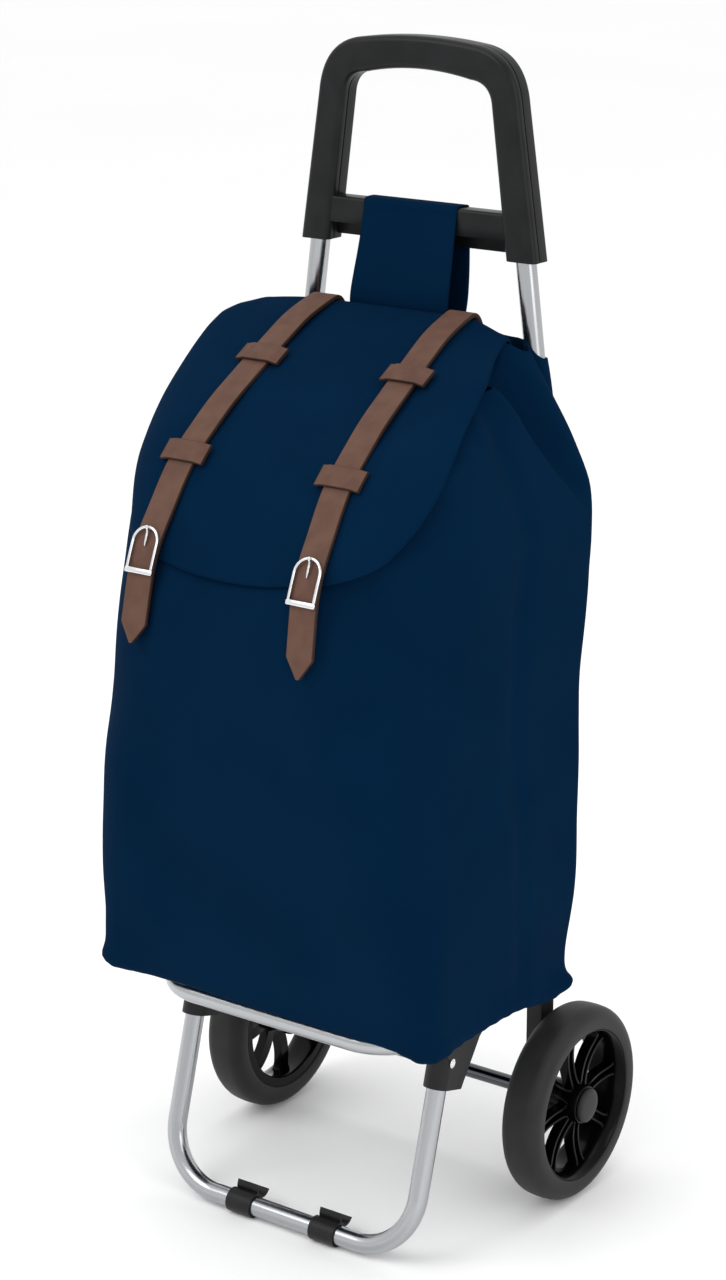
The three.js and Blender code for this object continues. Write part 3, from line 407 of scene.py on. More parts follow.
def weave_group():
    """Plain weave: a warp and a weft of rounded threads, |sin| ridges that pass over each other
    in a chequer of cosines. The vector counts in threads after the scale. Fleck is slow noise."""
    tree, vector, out = group_of("Plain weave", "Threads", "Height", "Fleck")
    parts = node(tree, "ShaderNodeSeparateXYZ", {0: vector})
    turns = [sums(tree, "MULTIPLY", parts.outputs[axis], math.pi) for axis in ("X", "Y")]
    warp, weft = (sums(tree, "ABSOLUTE", sums(tree, "SINE", turn)) for turn in turns)
    over = sums(tree, "MULTIPLY", *(sums(tree, "COSINE", turn) for turn in turns))
    lifted = sums(tree, "MULTIPLY_ADD", over, 0.35, 0.5)
    height = sums(tree, "MULTIPLY", sums(tree, "MAXIMUM", warp, weft), lifted)
    feeds(tree, out, {"Height": height, "Fleck": noise(tree, vector, 0.35, 2.0, 0.6)})
    return tree


def grain_group():
    """Moulded or tanned skin: rounded cells with finer noise on top, for plastic and leather.
    Patch is slow noise."""
    tree, vector, out = group_of("Fine grain", "Size", "Height", "Patch")
    inputs = {"Vector": vector, "Scale": 1.0}
    cells = node(tree, "ShaderNodeTexVoronoi", inputs, feature="SMOOTH_F1")
    fine = sums(tree, "MULTIPLY", noise(tree, vector, 2.6, 3.0), 0.5)
    height = sums(tree, "ADD", cells.outputs["Distance"], fine)
    feeds(tree, out, {"Height": height, "Patch": noise(tree, vector, 0.05, 2.0)})
    return tree


def drawn_group():
    """Drawn metal: noise on a vector that is stretched along one direction, as fine lines and
    slow bands."""
    tree, vector, out = group_of("Drawn metal", None, "Lines", "Bands")
    lines, bands = noise(tree, vector, 1.0, 4.0, 0.6), noise(tree, vector, 0.12, 1.0)
    feeds(tree, out, {"Lines": lines, "Bands": bands})
    return tree


WEAVE = weave_group()
GRAIN = grain_group()
DRAWN = drawn_group()


def rgb(red, green, blue):
    """Linear colour from the usual 0 to 255 display values."""
    share = np.array([red, green, blue], float) / 255
    linear = np.where(share <= 0.04045, share / 12.92, ((share + 0.055) / 1.055) ** 2.4)
    return (*linear, 1.0)


def finish_of(name, **sockets):
    """A material, its tree and its Principled shader with those constant sockets."""
    made = bpy.data.materials.new(name)
    made.use_nodes = True
    tree = made.node_tree
    shader = tree.nodes["Principled BSDF"]
    feeds(tree, shader, {key.replace("_", " "): value for key, value in sockets.items()})
    return made, tree, shader


def ramp(tree, socket, low, high, colours):
    """A colour that runs from the first to the second as the socket runs from low to high."""
    made = node(tree, "ShaderNodeValToRGB", {0: socket})
    first, second = made.color_ramp.elements
    first.position, second.position = low, high
    first.color, second.color = colours
    return made.outputs[0]


def bump(tree, height, distance, strength, **under):
    """A Bump node's normal, with distance in millimetres; Normal may name the one under it."""
    values = {"Height": height, "Strength": strength, "Distance": distance * MM, **under}
    return node(tree, "ShaderNodeBump", values).outputs[0]


def placed_group(tree, group, vector, **values):
    """A group node's outputs, with its vector linked and its values set."""
    values = {"Vector": vector, **values}
    return node(tree, "ShaderNodeGroup", values, node_tree=group).outputs


def object_point(tree):
    """The point on the piece, in metres."""
    return node(tree, "ShaderNodeTexCoord").outputs["Object"]


def surface_lengths(tree):
    """The lengths across and along the piece's grid, in millimetres."""
    return node(tree, "ShaderNodeUVMap", uv_map="Lengths").outputs[0]


def cloth(name, base, lit):
    """Dyed woven polyester: weave in the lengths of the cloth over soft puckers, and slow shifts
    of tone with the weave's fleck."""
    made, tree, shader = finish_of(name, Roughness=0.92, Specular_IOR_Level=0.02)
    weave = placed_group(tree, WEAVE, surface_lengths(tree), Threads=1.6)
    point = object_point(tree)
    slow = sums(tree, "MULTIPLY", noise(tree, point, 9.0, 3.0, 0.55), 0.7)
    tone = sums(tree, "ADD", slow, sums(tree, "MULTIPLY", weave["Fleck"], 0.3))
    puckers = bump(tree, noise(tree, point, 26.0, 2.0), 0.8, 0.25)
    normal = bump(tree, weave["Height"], 0.12, 0.6, Normal=puckers)
    colour = ramp(tree, tone, 0.3, 0.7, (base, lit))
    feeds(tree, shader, {"Base Color": colour, "Normal": normal})
    return made


def leather(name, base, lit, edge):
    """Pressed leather: fine cells, patches of tone, and dark painted edges where Edge is 1."""
    made, tree, shader = finish_of(name, Roughness=0.62, Specular_IOR_Level=0.13)
    grain = placed_group(tree, GRAIN, object_point(tree), Size=1500.0)
    face = ramp(tree, grain["Patch"], 0.35, 0.65, (base, lit))
    at_edge = node(tree, "ShaderNodeAttribute", attribute_name="Edge").outputs["Fac"]
    inputs = {"Factor": at_edge, "A": face, "B": edge}
    colour = node(tree, "ShaderNodeMix", inputs, data_type="RGBA").outputs["Result"]
    normal = bump(tree, grain["Height"], 0.12, 0.6)
    feeds(tree, shader, {"Base Color": colour, "Normal": normal})
    return made


def moulded(name, base, lit, roughness, size, depth, shine=0.22):
    """Moulded plastic or rubber: a fine spark-eroded grain and a slight drift of tone and gloss."""
    made, tree, shader = finish_of(name, Roughness=roughness, Specular_IOR_Level=shine)
    grain = placed_group(tree, GRAIN, object_point(tree), Size=size)
    colour = ramp(tree, grain["Patch"], 0.3, 0.7, (base, lit))
    varied = sums(tree, "MULTIPLY_ADD", grain["Patch"], 0.16, roughness - 0.08)
    normal = bump(tree, grain["Height"], depth, 0.5)
    feeds(tree, shader, {"Base Color": colour, "Roughness": varied, "Normal": normal})
    return made


def metal(name, base, lit, roughness, stretch, depth, vector_of=object_point):
    """Drawn or plated metal: fine lines along the piece, drifting roughness."""
    made, tree, shader = finish_of(name, Roughness=roughness, Metallic=1.0)
    inputs = {"Vector": vector_of(tree), "Scale": stretch}
    drawn = placed_group(tree, DRAWN, node(tree, "ShaderNodeMapping", inputs).outputs[0])
    colour = ramp(tree, drawn["Bands"], 0.35, 0.65, (base, lit))
    varied = sums(tree, "MULTIPLY_ADD", drawn["Lines"], 0.14, roughness - 0.07)
    normal = bump(tree, drawn["Lines"], depth, 0.4)
    feeds(tree, shader, {"Base Color": colour, "Roughness": varied, "Normal": normal})
    return made


NAVY = cloth("Navy polyester", rgb(1, 26, 50), rgb(3, 31, 56))
LINING = cloth("Dark lining", rgb(3, 17, 31), rgb(5, 21, 37))
BROWN = leather("Brown leather", rgb(87, 62, 52), rgb(95, 69, 58), rgb(50, 34, 27))
BLACK = moulded("Black plastic", rgb(24, 24, 25), rgb(30, 30, 31), 0.42, 1400.0, 0.03)
HANDLE_BLACK = moulded("Handle plastic", rgb(18, 19, 20), rgb(25, 26, 27), 0.36, 1100.0, 0.04, 0.17)
GLOSS = moulded("Gloss rim plastic", rgb(2, 2, 3), rgb(5, 5, 6), 0.18, 600.0, 0.005, 0.1)
TYRE = moulded("Tyre rubber", rgb(36, 36, 37), rgb(43, 43, 44), 0.5, 900.0, 0.03, 0.17)
BOARD = moulded("Base board", rgb(60, 60, 60), rgb(74, 74, 73), 0.75, 300.0, 0.1)
TUBE = metal(
    "Satin aluminium",
    rgb(166, 168, 171),
    rgb(177, 179, 181),
    0.22,
    (1.4, 0.03, 1),
    0.01,
    surface_lengths,
)
# The axle is polished chrome. Its colour is darkened to a painted reflection of the dark bag above
# it.
AXLE_CHROME_PAINTED_DARK = metal("Axle chrome with painted dark reflection", rgb(84, 85, 88), rgb(96, 97, 100), 0.16, (60, 900, 900), 0.003)
CHROME = metal("Chrome", rgb(214, 215, 217), rgb(226, 227, 229), 0.12, (60, 900, 900), 0.003)


# ------------------------------------------------------------------ frame tubes and fittings

TUBE_RADIUS = 8.0
TUBE_HALF = 121.8  # half spacing of the frame's tubes
UPRIGHT_Y = -2.5
UPRIGHT_ENDS = (203, 834)
UPRIGHT_TOP_HALF = 98.0  # half spacing of the uprights at the handle's foot
BEND_Z = 590.0
AXLE_Z = 82.5
PLATFORM_BACK, PLATFORM_FRONT, PLATFORM_Z = -1, -204, 192
PIVOT = np.array([0, -144.5, 165.0])
PAST_PIVOT = 4.5  # from the pivot to the end of the leg's tube
FOOT_BAR = np.array([0, -189.2, 10.0])
HANDLE_FOOT = 775.0
HANDLE_TOP = 940.5


def tube(name, corners, bend, across, body, node_name):
    """Round tube along a bent line."""
    piece = swept(name, bent(corners, bend), ring_of(TUBE_RADIUS, 48), TUBE, across)
    fit(crisp(piece, 60), body, node_name)


def leaned(z):
    """How far the uprights have come inwards at a height: nothing up to the bend, then evenly."""
    rise = np.clip(z - BEND_Z, 0, None)
    return rise * (TUBE_HALF - UPRIGHT_TOP_HALF) / (HANDLE_FOOT - BEND_Z)


def u_shape(arm):
    """One arm's points, then the same points on the other side in the opposite order."""
    return arm + [(-x, y, z) for x, y, z in reversed(arm)]


for label, side in SIDES:
    heights = (UPRIGHT_ENDS[0], BEND_Z, UPRIGHT_ENDS[1])
    line = [(side * (TUBE_HALF - leaned(z)), UPRIGHT_Y, z) for z in heights]
    tube(f"{label}_upright_tube", line, 60, (0, 1, 0), "frame", f"{label}_upright")

arm = [(TUBE_HALF, PLATFORM_BACK, PLATFORM_Z), (TUBE_HALF, PLATFORM_FRONT, PLATFORM_Z)]
tube("platform_bent_tube", u_shape(arm), 45, (0, 0, 1), "frame", "platform_tube")

leg_down = (FOOT_BAR - PIVOT) / np.linalg.norm(FOOT_BAR - PIVOT)
leg_top = PIVOT - PAST_PIVOT * leg_down
leg = [(TUBE_HALF, *leg_top[1:]), (TUBE_HALF, *FOOT_BAR[1:])]
leg_face = (0, -leg_down[2], leg_down[1])
tube("leg_bent_tube", u_shape(leg), 50, leg_face, "front_leg", "front_leg")

# Piece, frame solid, material, slot and bevel in millimetres.
FITTINGS = (
    ("axle_post", "axle_bracket", BLACK, "black_plastic", 0.7),
    ("leg_saddle", "leg_bracket", BLACK, "black_plastic", 0.5),
    ("foot_clip", "foot", BLACK, "black_plastic", 0.4),
    ("washer", "axle_washer", BLACK, "black_plastic", 0.2),
    ("nut", "push_nut", CHROME, "chrome", 0.2),
)
RIVET_HEAD = ((0, -12.5), (1.6, -12.4), (2.9, -12.1), (3.7, -11.5), (4, -11.3), (2.5, -11.3))
AXLE_END = ((0, -158.9), (5.3, -158.9), (6, -158.2))

for label, side in SIDES:
    for ending, solid, material, slot, bevel in FITTINGS:
        body = f"{label}_foot" if solid == "foot" else "frame"
        carried_over(f"{label}_{ending}", f"{label}_{solid}", material, body, bevel)
    centre = (side * TUBE_HALF, *PIVOT[1:])
    rivet = turned(f"{label}_domed_rivet", both_ends(RIVET_HEAD), centre, 1, CHROME, 32)
    fit(crisp(rivet, 50), "frame", f"{label}_leg_rivet")

carried_over("bottom_board", "base_board", BOARD, "frame", 0.5)
# The axle rod's dark colour is a painted reflection, not a darker metal.
axle = turned("axle_rod", both_ends(AXLE_END), (0, 0, AXLE_Z), 1, AXLE_CHROME_PAINTED_DARK, 48)
fit(crisp(axle, 35), "frame", "axle")

# ------------------------------------------------------------------ wheels

WHEEL_X = 151.5
RIM_RADIUS = 63.5
TYRE_RADIUS = 82.5
TYRE_HALF = 17.5
TYRE_SHOULDER = 11.5
TYRE_CROWN = 0.35
HUB_END = TYRE_HALF - 1.4
SPOKES = 8
FIRST_SPOKE = 8  # degrees from upright
SPOKE_ROOT, SPOKE_END = 14.0, RIM_RADIUS - 4.0  # inside the hub and inside the barrel
SPOKE_FACE = 8.5  # height of both ends of a spoke over the wheel's middle plane
SPOKE_DIP = 3.85  # how much lower its middle lies
# Section of a spoke, across and from its face inwards: a channel with rounded ribs.
SPOKE_SECTION = np.array(
    [
        (-4.8, -0.3), (-4.8, -9), (4.8, -9), (4.8, -0.3), (4.5, 0), (2.9, 0), (2.6, -0.3),
        (2.6, -6.2), (2.2, -6.8), (-2.2, -6.8), (-2.6, -6.2), (-2.6, -0.3), (-2.9, 0), (-4.5, 0),
    ]
)


def tyre_profile():
    """Half section of the tyre and its mirror image: a straight side with a raised bead, then a
    wide shoulder that runs into a slightly crowned tread."""
    angle = np.linspace(0, math.pi / 2, 12)
    radius = TYRE_RADIUS - TYRE_CROWN - TYRE_SHOULDER + TYRE_SHOULDER * np.sin(angle)
    x = -TYRE_HALF + TYRE_SHOULDER * (1 - np.cos(angle))
    bead = [(RIM_RADIUS + 0.3, -TYRE_HALF + 1.6), (RIM_RADIUS + 0.7, -TYRE_HALF + 0.6)]
    bead += [(RIM_RADIUS + 1.8, -TYRE_HALF + 0.2), (RIM_RADIUS + 4.5, -TYRE_HALF)]
    return both_ends([*bead, *zip(radius, x), (TYRE_RADIUS - 0.1, -3.2)], (TYRE_RADIUS, 0))


def spokes(name, centre, side):
    """Spokes with two ribs. Each is a channel section carried from the hub to the barrel along a
    line that dips inwards by a parabola, and widens into a fillet at both ends."""
    step = np.linspace(0, 1, 22)
    radius = SPOKE_ROOT + (SPOKE_END - SPOKE_ROOT) * step
    dip = SPOKE_FACE - SPOKE_DIP * 4 * step * (1 - step)
    at_barrel = 0.5 * np.clip((step - 0.82) / 0.18, 0, 1) ** 2
    at_hub = 0.25 * np.clip(1 - step / 0.12, 0, 1)
    across = SPOKE_SECTION[:, 0] * (1 + at_barrel + at_hub)[:, None]
    x = side * (dip[:, None] + SPOKE_SECTION[:, 1])
    out = np.broadcast_to(radius[:, None], across.shape)
    turn = np.radians(360 / SPOKES * np.arange(SPOKES) + FIRST_SPOKE)[:, None, None]
    y = across * np.cos(turn) - out * np.sin(turn)
    z = across * np.sin(turn) + out * np.cos(turn)
    points = np.stack([np.broadcast_to(x, y.shape), y, z], 3) + centre
    rows, columns = across.shape
    first = (np.arange(SPOKES) * rows * columns)[:, None, None]
    end = np.arange(columns)
    ends = np.stack([end[::-1], end + (rows - 1) * columns])
    faces = (grid_faces(rows, columns, True) + first).reshape(-1, 4).tolist()
    faces += (ends + first).reshape(-1, columns).tolist()
    return crisp(face_outwards(new_piece(name, points, faces, GLOSS)), 40)


# Closed sections of the rim's barrel and hub, and the cap's line from its face to its back, as
# radius and distance outwards from the wheel's middle plane.
BARREL = [
    (RIM_RADIUS - inwards, x)
    for inwards, x in (
        (0, -15.9), (0, 15.9), (1.0, 15.9), (1.8, 15.0), (4.3, 10.8), (5.4, 6), (6.2, 0),
        (7.2, -6), (8.2, -12.0), (8.4, -14.6), (7.6, -15.9),
    )
]
HUB = [
    (6.3, -19.7), (14.6, -19.7), (15.6, -18.9), (16, -17.5), (16, HUB_END - 1),
    (15.6, HUB_END - 0.3), (15, HUB_END), (12.9, HUB_END), (12.9, 4.1), (6.3, 4.1),
]
CAP = [
    (0, 20.3), (7, 20.2), (11.5, 19.95), (13.2, 19.6), (14.1, 19), (14.5, 18.1), (14.5, 16.9),
    (12.5, 16.9), (12.5, 10.9), (0, 10.9),
]
for label, side in SIDES:
    centre = np.array([side * WHEEL_X, 0, AXLE_Z])
    body = f"{label}_wheel"
    tyre = turned(f"{label}_tyre_ring", tyre_profile(), centre, side, TYRE, 144)
    fit(crisp(tyre, 40), body, f"{label}_tyre")
    barrel = turned(f"{label}_rim_barrel", BARREL, centre, side, GLOSS, 120)
    fit(crisp(barrel, 40), body, f"{label}_rim")
    hub = turned(f"{label}_rim_hub", HUB, centre, side, GLOSS, 64)
    fit(crisp(hub, 40), body, f"{label}_rim")
    fit(spokes(f"{label}_rim_spokes", centre, side), body, f"{label}_rim")
    cap = turned(f"{label}_cap", CAP, centre, side, BLACK, 64)
    fit(crisp(cap, 40), body, f"{label}_hub_cap")

# ------------------------------------------------------------------ handle


def arc_through(a, b, c, count):
    """Quadratic curve from a to c with its control point at b, without its last point."""
    t = np.linspace(0, 1, count, endpoint=False)[:, None]
    a, b, c = (np.asarray(p, float) for p in (a, b, c))
    return a * (1 - t) ** 2 + 2 * b * t * (1 - t) + c * t**2


def handle_line(foot_half, lean, corner_z, knee, shoulder, crown_z):
    """An outline of the handle in (x, z), from the right foot over the crown to the left foot: a
    straight leg that leans inwards, a rounded corner, half of the slightly arched crown, and
    their mirror image."""
    rise = np.linspace(HANDLE_FOOT, corner_z, 14, endpoint=False)
    leg_line = np.stack([foot_half - (rise - HANDLE_FOOT) * lean, rise], 1)
    leg_end = (foot_half - (corner_z - HANDLE_FOOT) * lean, corner_z)
    corner = arc_through(leg_end, knee, shoulder, 26)
    over = (0, 2 * crown_z - shoulder[1])
    crown = arc_through(shoulder, over, (-shoulder[0], shoulder[1]), 32)
    half = np.concatenate([leg_line, corner, crown[:17]])
    return np.concatenate([half, (half * (-1, 1))[-2::-1]])


HANDLE_OUTER = handle_line(111.8, 0.15, 893, (90.0, 930), (58, 936.3), HANDLE_TOP)
HANDLE_INNER = handle_line(84.2, 0.13, 894, (66.0, 909), (49, 910), 915.2)


def handle_shell(name, front, back, front_radius, back_radius, inset, node_name):
    """A layer of the handle from its front y to its back y: between the two outlines less an
    inset, a rectangle with its corners turned at two radii, spread over each station's width."""
    centre, half = (HANDLE_OUTER + HANDLE_INNER) / 2, (HANDLE_OUTER - HANDLE_INNER) / 2
    width = np.linalg.norm(half, axis=1, keepdims=True)
    unit = half / width
    width = width - inset
    angle = np.linspace(0, math.pi / 2, 9)
    across, depth = [], []
    for quarter, (sx, sy) in enumerate(((1, 1), (-1, 1), (-1, -1), (1, -1))):
        edge, radius = (back, back_radius) if sy > 0 else (front, front_radius)
        turn = angle + quarter * math.pi / 2
        across.append(sx * (width - radius) + radius * np.cos(turn))
        depth.append(edge - sy * radius + radius * np.sin(turn))
    across = np.concatenate(across, 1)
    depth = np.broadcast_to(np.concatenate(depth), across.shape)
    x = centre[:, :1] + unit[:, :1] * across
    z = centre[:, 1:] + unit[:, 1:] * across
    piece = closed_grid(name, np.stack([x, depth, z], 2), HANDLE_BLACK)
    fit(crisp(piece, 50), "frame", node_name)


# Two shells with a parting groove between them, and the core that closes the groove.
handle_shell("handle_front_shell", -12.5, -4.7, 5.0, 0.5, 0.0, "handle_front")
handle_shell("handle_back_shell", -3.3, 9.5, 0.5, 4.0, 0.25, "handle_back")
handle_shell("handle_core", -6.0, -2.0, 0.3, 0.3, 2.8, "handle_front")

BAR_TOP = 811
BAR_FRONT, BAR_BACK = -10.5, 5.5
BAR_ROUND = 2.6
BAR_HALF, BAR_CLEAR = 84, 77  # where it ends inside the legs, and where its fillets begin
BAR_FILLET = 1.5


def handle_bar():
    """The bar between the legs: an upturned channel section carried along x, whose top runs up
    into the legs by a small fillet."""
    fillet = np.linspace(-BAR_HALF, -BAR_CLEAR, 12)
    clear = np.linspace(1 - BAR_CLEAR, BAR_CLEAR - 1, 20)
    stations = np.concatenate([fillet, clear, -fillet[::-1]])
    turn = np.linspace(math.pi, math.pi / 2, 6)
    front_y = BAR_FRONT + BAR_ROUND + BAR_ROUND * np.cos(turn)
    front_top = np.stack([front_y, BAR_TOP - BAR_ROUND + BAR_ROUND * np.sin(turn)], 1)
    back_top = front_top[::-1] * (-1, 1) + (BAR_FRONT + BAR_BACK, 0)
    section = np.concatenate(
        [
            [(-10.1, 790), (-10.5, 790.5)], front_top, back_top, [(5.5, 779.5), (5.1, 779)],
            [(2.4, 779), (2.0, 779.5), (2.0, 807.5), (-7.0, 807.5), (-7.0, 790.5), (-7.4, 790)],
        ]
    )
    near = np.clip((np.abs(stations) - BAR_CLEAR) / 6, 0, 1)
    lift = BAR_FILLET * (1 - np.sqrt(1 - near**2))
    high = np.clip((section[:, 1] - 800) / 8, 0, 1)
    z = section[:, 1] + lift[:, None] * high
    x = np.broadcast_to(stations[:, None], z.shape)
    y = np.broadcast_to(section[:, 0], z.shape)
    piece = closed_grid("handle_bar", np.stack([x, y, z], 2), HANDLE_BLACK)
    fit(crisp(piece, 40), "frame", "handle_front")


handle_bar()

# ------------------------------------------------------------------ bag

# Levels of the bag up its front: height at the front, rise of the level's plane to the back,
# front and back y, half width at the back and at the front, and radius of the front corners.
BAG_LEVELS = [
    (200.5, 0, -212, -21, 157, 156.5, 20),
    (201.6, 0, -217, -17.5, 162, 162, 19),
    (205, 0, -220, -16.7, 165, 164.5, 18),
    (211, 0, -222.5, -16.5, 165.5, 165, 18),
    (219, 0, -224.5, -16.5, 162, 165, 20),
    (228, 0, -226, -16.5, 160, 165, 22),
    (243, 0, -229, -16.5, 160.5, 165, 26),
    (270, 0, -234.5, -16.5, 164, 164, 34),
    (300, 0, -240, -16.5, 167.5, 162.7, 42),
    (335, 0, -247, -16.5, 170, 161.5, 53),
    (370, 0, -252.5, -16.5, 170.5, 158.7, 64),
    (400, 0, -256.5, -16.5, 169.7, 154.7, 72),
    (425, 0, -259.7, -16.5, 169, 152.3, 81),
    (450, 0, -262.5, -16.5, 169, 150.3, 88),
    (475, 0, -265.2, -16.5, 169, 148.8, 97),
    (500, 0, -267, -16.5, 169.7, 147.8, 107),
    (523, 0.02, -264.5, -16.5, 171.2, 147.8, 112),
    (545, 0.05, -259, -16.5, 174, 148.3, 114),
    (566, 0.11, -250, -16.5, 177, 148.8, 110),
    (583, 0.18, -240, -16.6, 170, 149.5, 101),
    (598, 0.27, -229, -17.5, 153.5, 147, 92),
    (612, 0.345, -217, -20.5, 140, 149.5, 88),
    (626, 0.42, -203, -25, 128.5, 156, 84),
    (640, 0.49, -189.5, -30.5, 119, 154, 80),
    (652, 0.545, -177, -34, 112, 146, 74),
]
BACK_RADIUS = 12.0
BACK_END_Y = -8.5  # of the back's ends near the mouth
BOTTOM_MIDDLE = np.array([0, -118, 200.6])
BAG_CENTRE_Y = -120
# Upper edge of the side panel, where the cloth behind it falls in: height, y, depth of the fall.
SIDE_RIDGE = [
    (606, -20, 0), (613, -30, 2), (623, -38, 6), (657, -59, 19), (685, -80, 29), (719, -107, 33),
    (745, -116, 30),
]
# Crease that runs down the side panel: height, y, depth.
SIDE_CREASE = [
    (200, -93, 0), (229, -95, 2), (349, -103, 2.6), (456, -106, 3.2), (588, -102, 4.2),
    (616, -103, 5), (647, -99, 6), (668, -103, 6), (693, -102, 6), (720, -106, 5),
]


def ring_lines(levels):
    """Outlines of the bag at its levels: half of a rectangle with two corner radii, from the
    middle of the back to the middle of the front, narrowed towards the front, and its mirror
    image. The level's plane rises to the back."""
    height, rise, front, back, half, half_front, radius = (levels[:, k : k + 1] for k in range(7))
    small = np.minimum(BACK_RADIUS, half - 1)
    along_back = np.linspace(0, 1, 25)[:-1]
    back_turn = np.linspace(0, math.pi / 2, 11)
    along_side = np.linspace(0, 1, 48)[1:-1]
    front_turn = np.linspace(0, math.pi / 2, 27)
    along_front = np.linspace(0, 1, 22)[1:]
    x_parts = (
        along_back * (half - small),
        half - small + small * np.sin(back_turn),
        half + 0 * along_side,
        half - radius + radius * np.cos(front_turn),
        (1 - along_front) * (half - radius),
    )
    y_parts = (
        back + 0 * along_back,
        back - small + small * np.cos(back_turn),
        (back - small) * (1 - along_side) + (front + radius) * along_side,
        front + radius - radius * np.sin(front_turn),
        front + 0 * along_front,
    )
    x, y = np.concatenate(x_parts, 1), np.concatenate(y_parts, 1)
    ahead = (back - y) / (back - front)
    x = x * (1 + (half_front / half - 1) * ahead)
    right = np.stack([x, y, height + rise * (y - front)], 2)
    left = right[:, -2:0:-1] * (-1, 1, 1)
    return np.concatenate([right, left], 1)


def outward(rings):
    """Level unit normals of closed outlines that run from the back to the right, by central
    differences."""
    along = np.roll(rings, -1, 1) - np.roll(rings, 1, 1)
    normal = np.stack([-along[..., 1], along[..., 0]], 2)
    normal = normal / np.maximum(np.linalg.norm(normal, axis=2, keepdims=True), 1e-9)
    towards = np.sum(normal * (rings[..., :2] - (0, BAG_CENTRE_Y)), 2, keepdims=True)
    return normal * np.sign(np.median(towards))


# Short folds behind the side panel's upper edge: y, height, depth.
SIDE_FOLDS = ((-113, 684, 5.0), (-131, 664, 4.0), (-150, 640, 2.5))
# Ears at the bottom corners: x, y, reach, and how far they stand out.
EARS = ((165, -20, 13, 2.5), (158, -212, 20, 4.0))


def bag_folds(points):
    """How far the cloth stands out of its plain form. Beside the panel's upper edge it falls in
    by a warped half sine; a crease with a low ridge on each hand runs down the side; short folds
    and a hollow under the flap's right corner are bells in two directions; ears stand out of the
    bottom corners; three long sines make it uneven, and a short one puckers the bottom seam."""
    x, y, z = np.moveaxis(points, -1, 0)
    beside = np.clip((np.abs(x) - 95) / 25, 0, 1)
    ridge_y, fall = table_of(SIDE_RIDGE, z)
    share = np.clip((y - ridge_y) / np.maximum(-18.0 - ridge_y, 1), 0, 1)
    sides = -fall * np.sin(np.pi * share**0.62) + 0.12 * fall * swell(y, ridge_y - 4, 6)
    crease_y, depth = table_of(SIDE_CREASE, z)
    ridges = swell(y, crease_y - 17, 11) + swell(y, crease_y + 18, 11)
    sides = sides + depth * (0.2 * ridges - swell(y, crease_y, 8))
    for fold_y, fold_z, deep in SIDE_FOLDS:
        sides = sides - deep * swell(y, fold_y, 7) * swell(z, fold_z, 12)
    hollow = 7.0 * swell(x, 118, 20) * swell(z, 556, 17) * smooth_step((-180 - y) / 30)
    lift = sides * beside - hollow
    for ear_x, ear_y, reach, amount in EARS:
        away = np.hypot(np.abs(x) - ear_x, y - ear_y)
        lift = lift + amount * swell(away, 0, reach) * swell(z, 208, 7)
    uneven = (
        0.9 * np.sin(0.021 * z + 0.047 * x + 1.0)
        + 0.7 * np.sin(0.055 * z - 0.033 * y + 0.02 * x)
        + 0.5 * np.sin(0.09 * x + 0.013 * z + 0.05 * y)
    )
    puckers = 0.5 * np.exp(-np.clip(z - 203, 0, None) / 9) * np.sin(0.42 * x + 0.37 * y)
    return lift + np.clip((z - 215) / 40, 0, 1) * uneven + puckers


def shoulder_drop(x, y):
    """How far the crest sinks beside the straps: a power of the way outwards, more at the right
    end than at the left, under a bell along y."""
    right = 15 * np.clip((x - 70) / 42, 0, 1) ** 1.1
    left = 4 * np.clip((-x - 70) / 50, 0, 1) ** 1.5
    return (right + left) * swell(y, -34, 30)


def bag_surface():
    """The bag's outer face: its bottom as shrunken copies of the lowest outline, then the
    outlines up to the mouth. Near the mouth the back's ends are pushed back to the sleeves; then
    the folds move all along the level normals. The bottom edge is lifted left of the front's middle
    and at the right end of the back and sags at the right front corner; the crest sinks at its
    ends, its rim is gathered up beside the flap's right end and hangs lower behind. Each of these
    is a product of smooth steps and bells."""
    walls = ring_lines(through(BAG_LEVELS, 132))
    x, y, z = np.moveaxis(walls, -1, 0)  # views, so that what changes them moves the walls
    back = y.max(axis=1, keepdims=True)
    back_ends = smooth_step((y - back + 34) / 34) * smooth_step((np.abs(x) - 70) / 28)
    y += (BACK_END_Y - back) * back_ends * smooth_step((z - 585) / 45)
    normal = outward(walls)
    walls[..., :2] += normal * bag_folds(walls)[..., None]
    lifted = 2.4 * swell(x, -92, 34) * smooth_step((-150 - y) / 50)
    lifted = lifted + 8.0 * swell(x, 166, 16) * swell(y, -20, 24)
    z += lifted * swell(z, 201, 9)
    z -= 4.5 * swell(np.hypot(x - 160, y + 220), 0, 14) * swell(z, 201, 6)
    z -= shoulder_drop(x, y)
    behind = smooth_step((np.abs(x) - 60) / 30) * smooth_step((y + 40) / 30)
    gathered = smooth_step((x - 98) / 6) * swell(y, -46, 15)
    z += (10 * gathered - 7 * behind) * smooth_step((z - 640) / 70)
    shrink = np.linspace(0, 1, 12, endpoint=False)[:, None, None]
    bottom = BOTTOM_MIDDLE + (walls[0] - BOTTOM_MIDDLE) * shrink
    return np.concatenate([bottom, walls])


bag = open_sheet("bag_shell", bag_surface(), NAVY, (0, BAG_CENTRE_Y, 400), wrap=True)
with opened(bag.data) as work:  # joins the middle of the bottom into one point
    bmesh.ops.remove_doubles(work, verts=work.verts, dist=1e-5)
lined(bag, 1.6, LINING)
fit(bag, "frame", "bag_body")

SLEEVE_FOOT, SLEEVE_TOP = 570, 707
SLEEVE_SLANT, SLEEVE_HIGH = 7, 3.77  # how far the mouth slants, and towards which angle it rises
SLEEVE_FRONT = 14.2  # from the upright's axis to the bag
# Radius of the sleeve at its heights.
SLEEVE_RADII = ((570, 13.2), (640, 13.0), (670, 11.6), (698, 9.9), (714, 9.3))


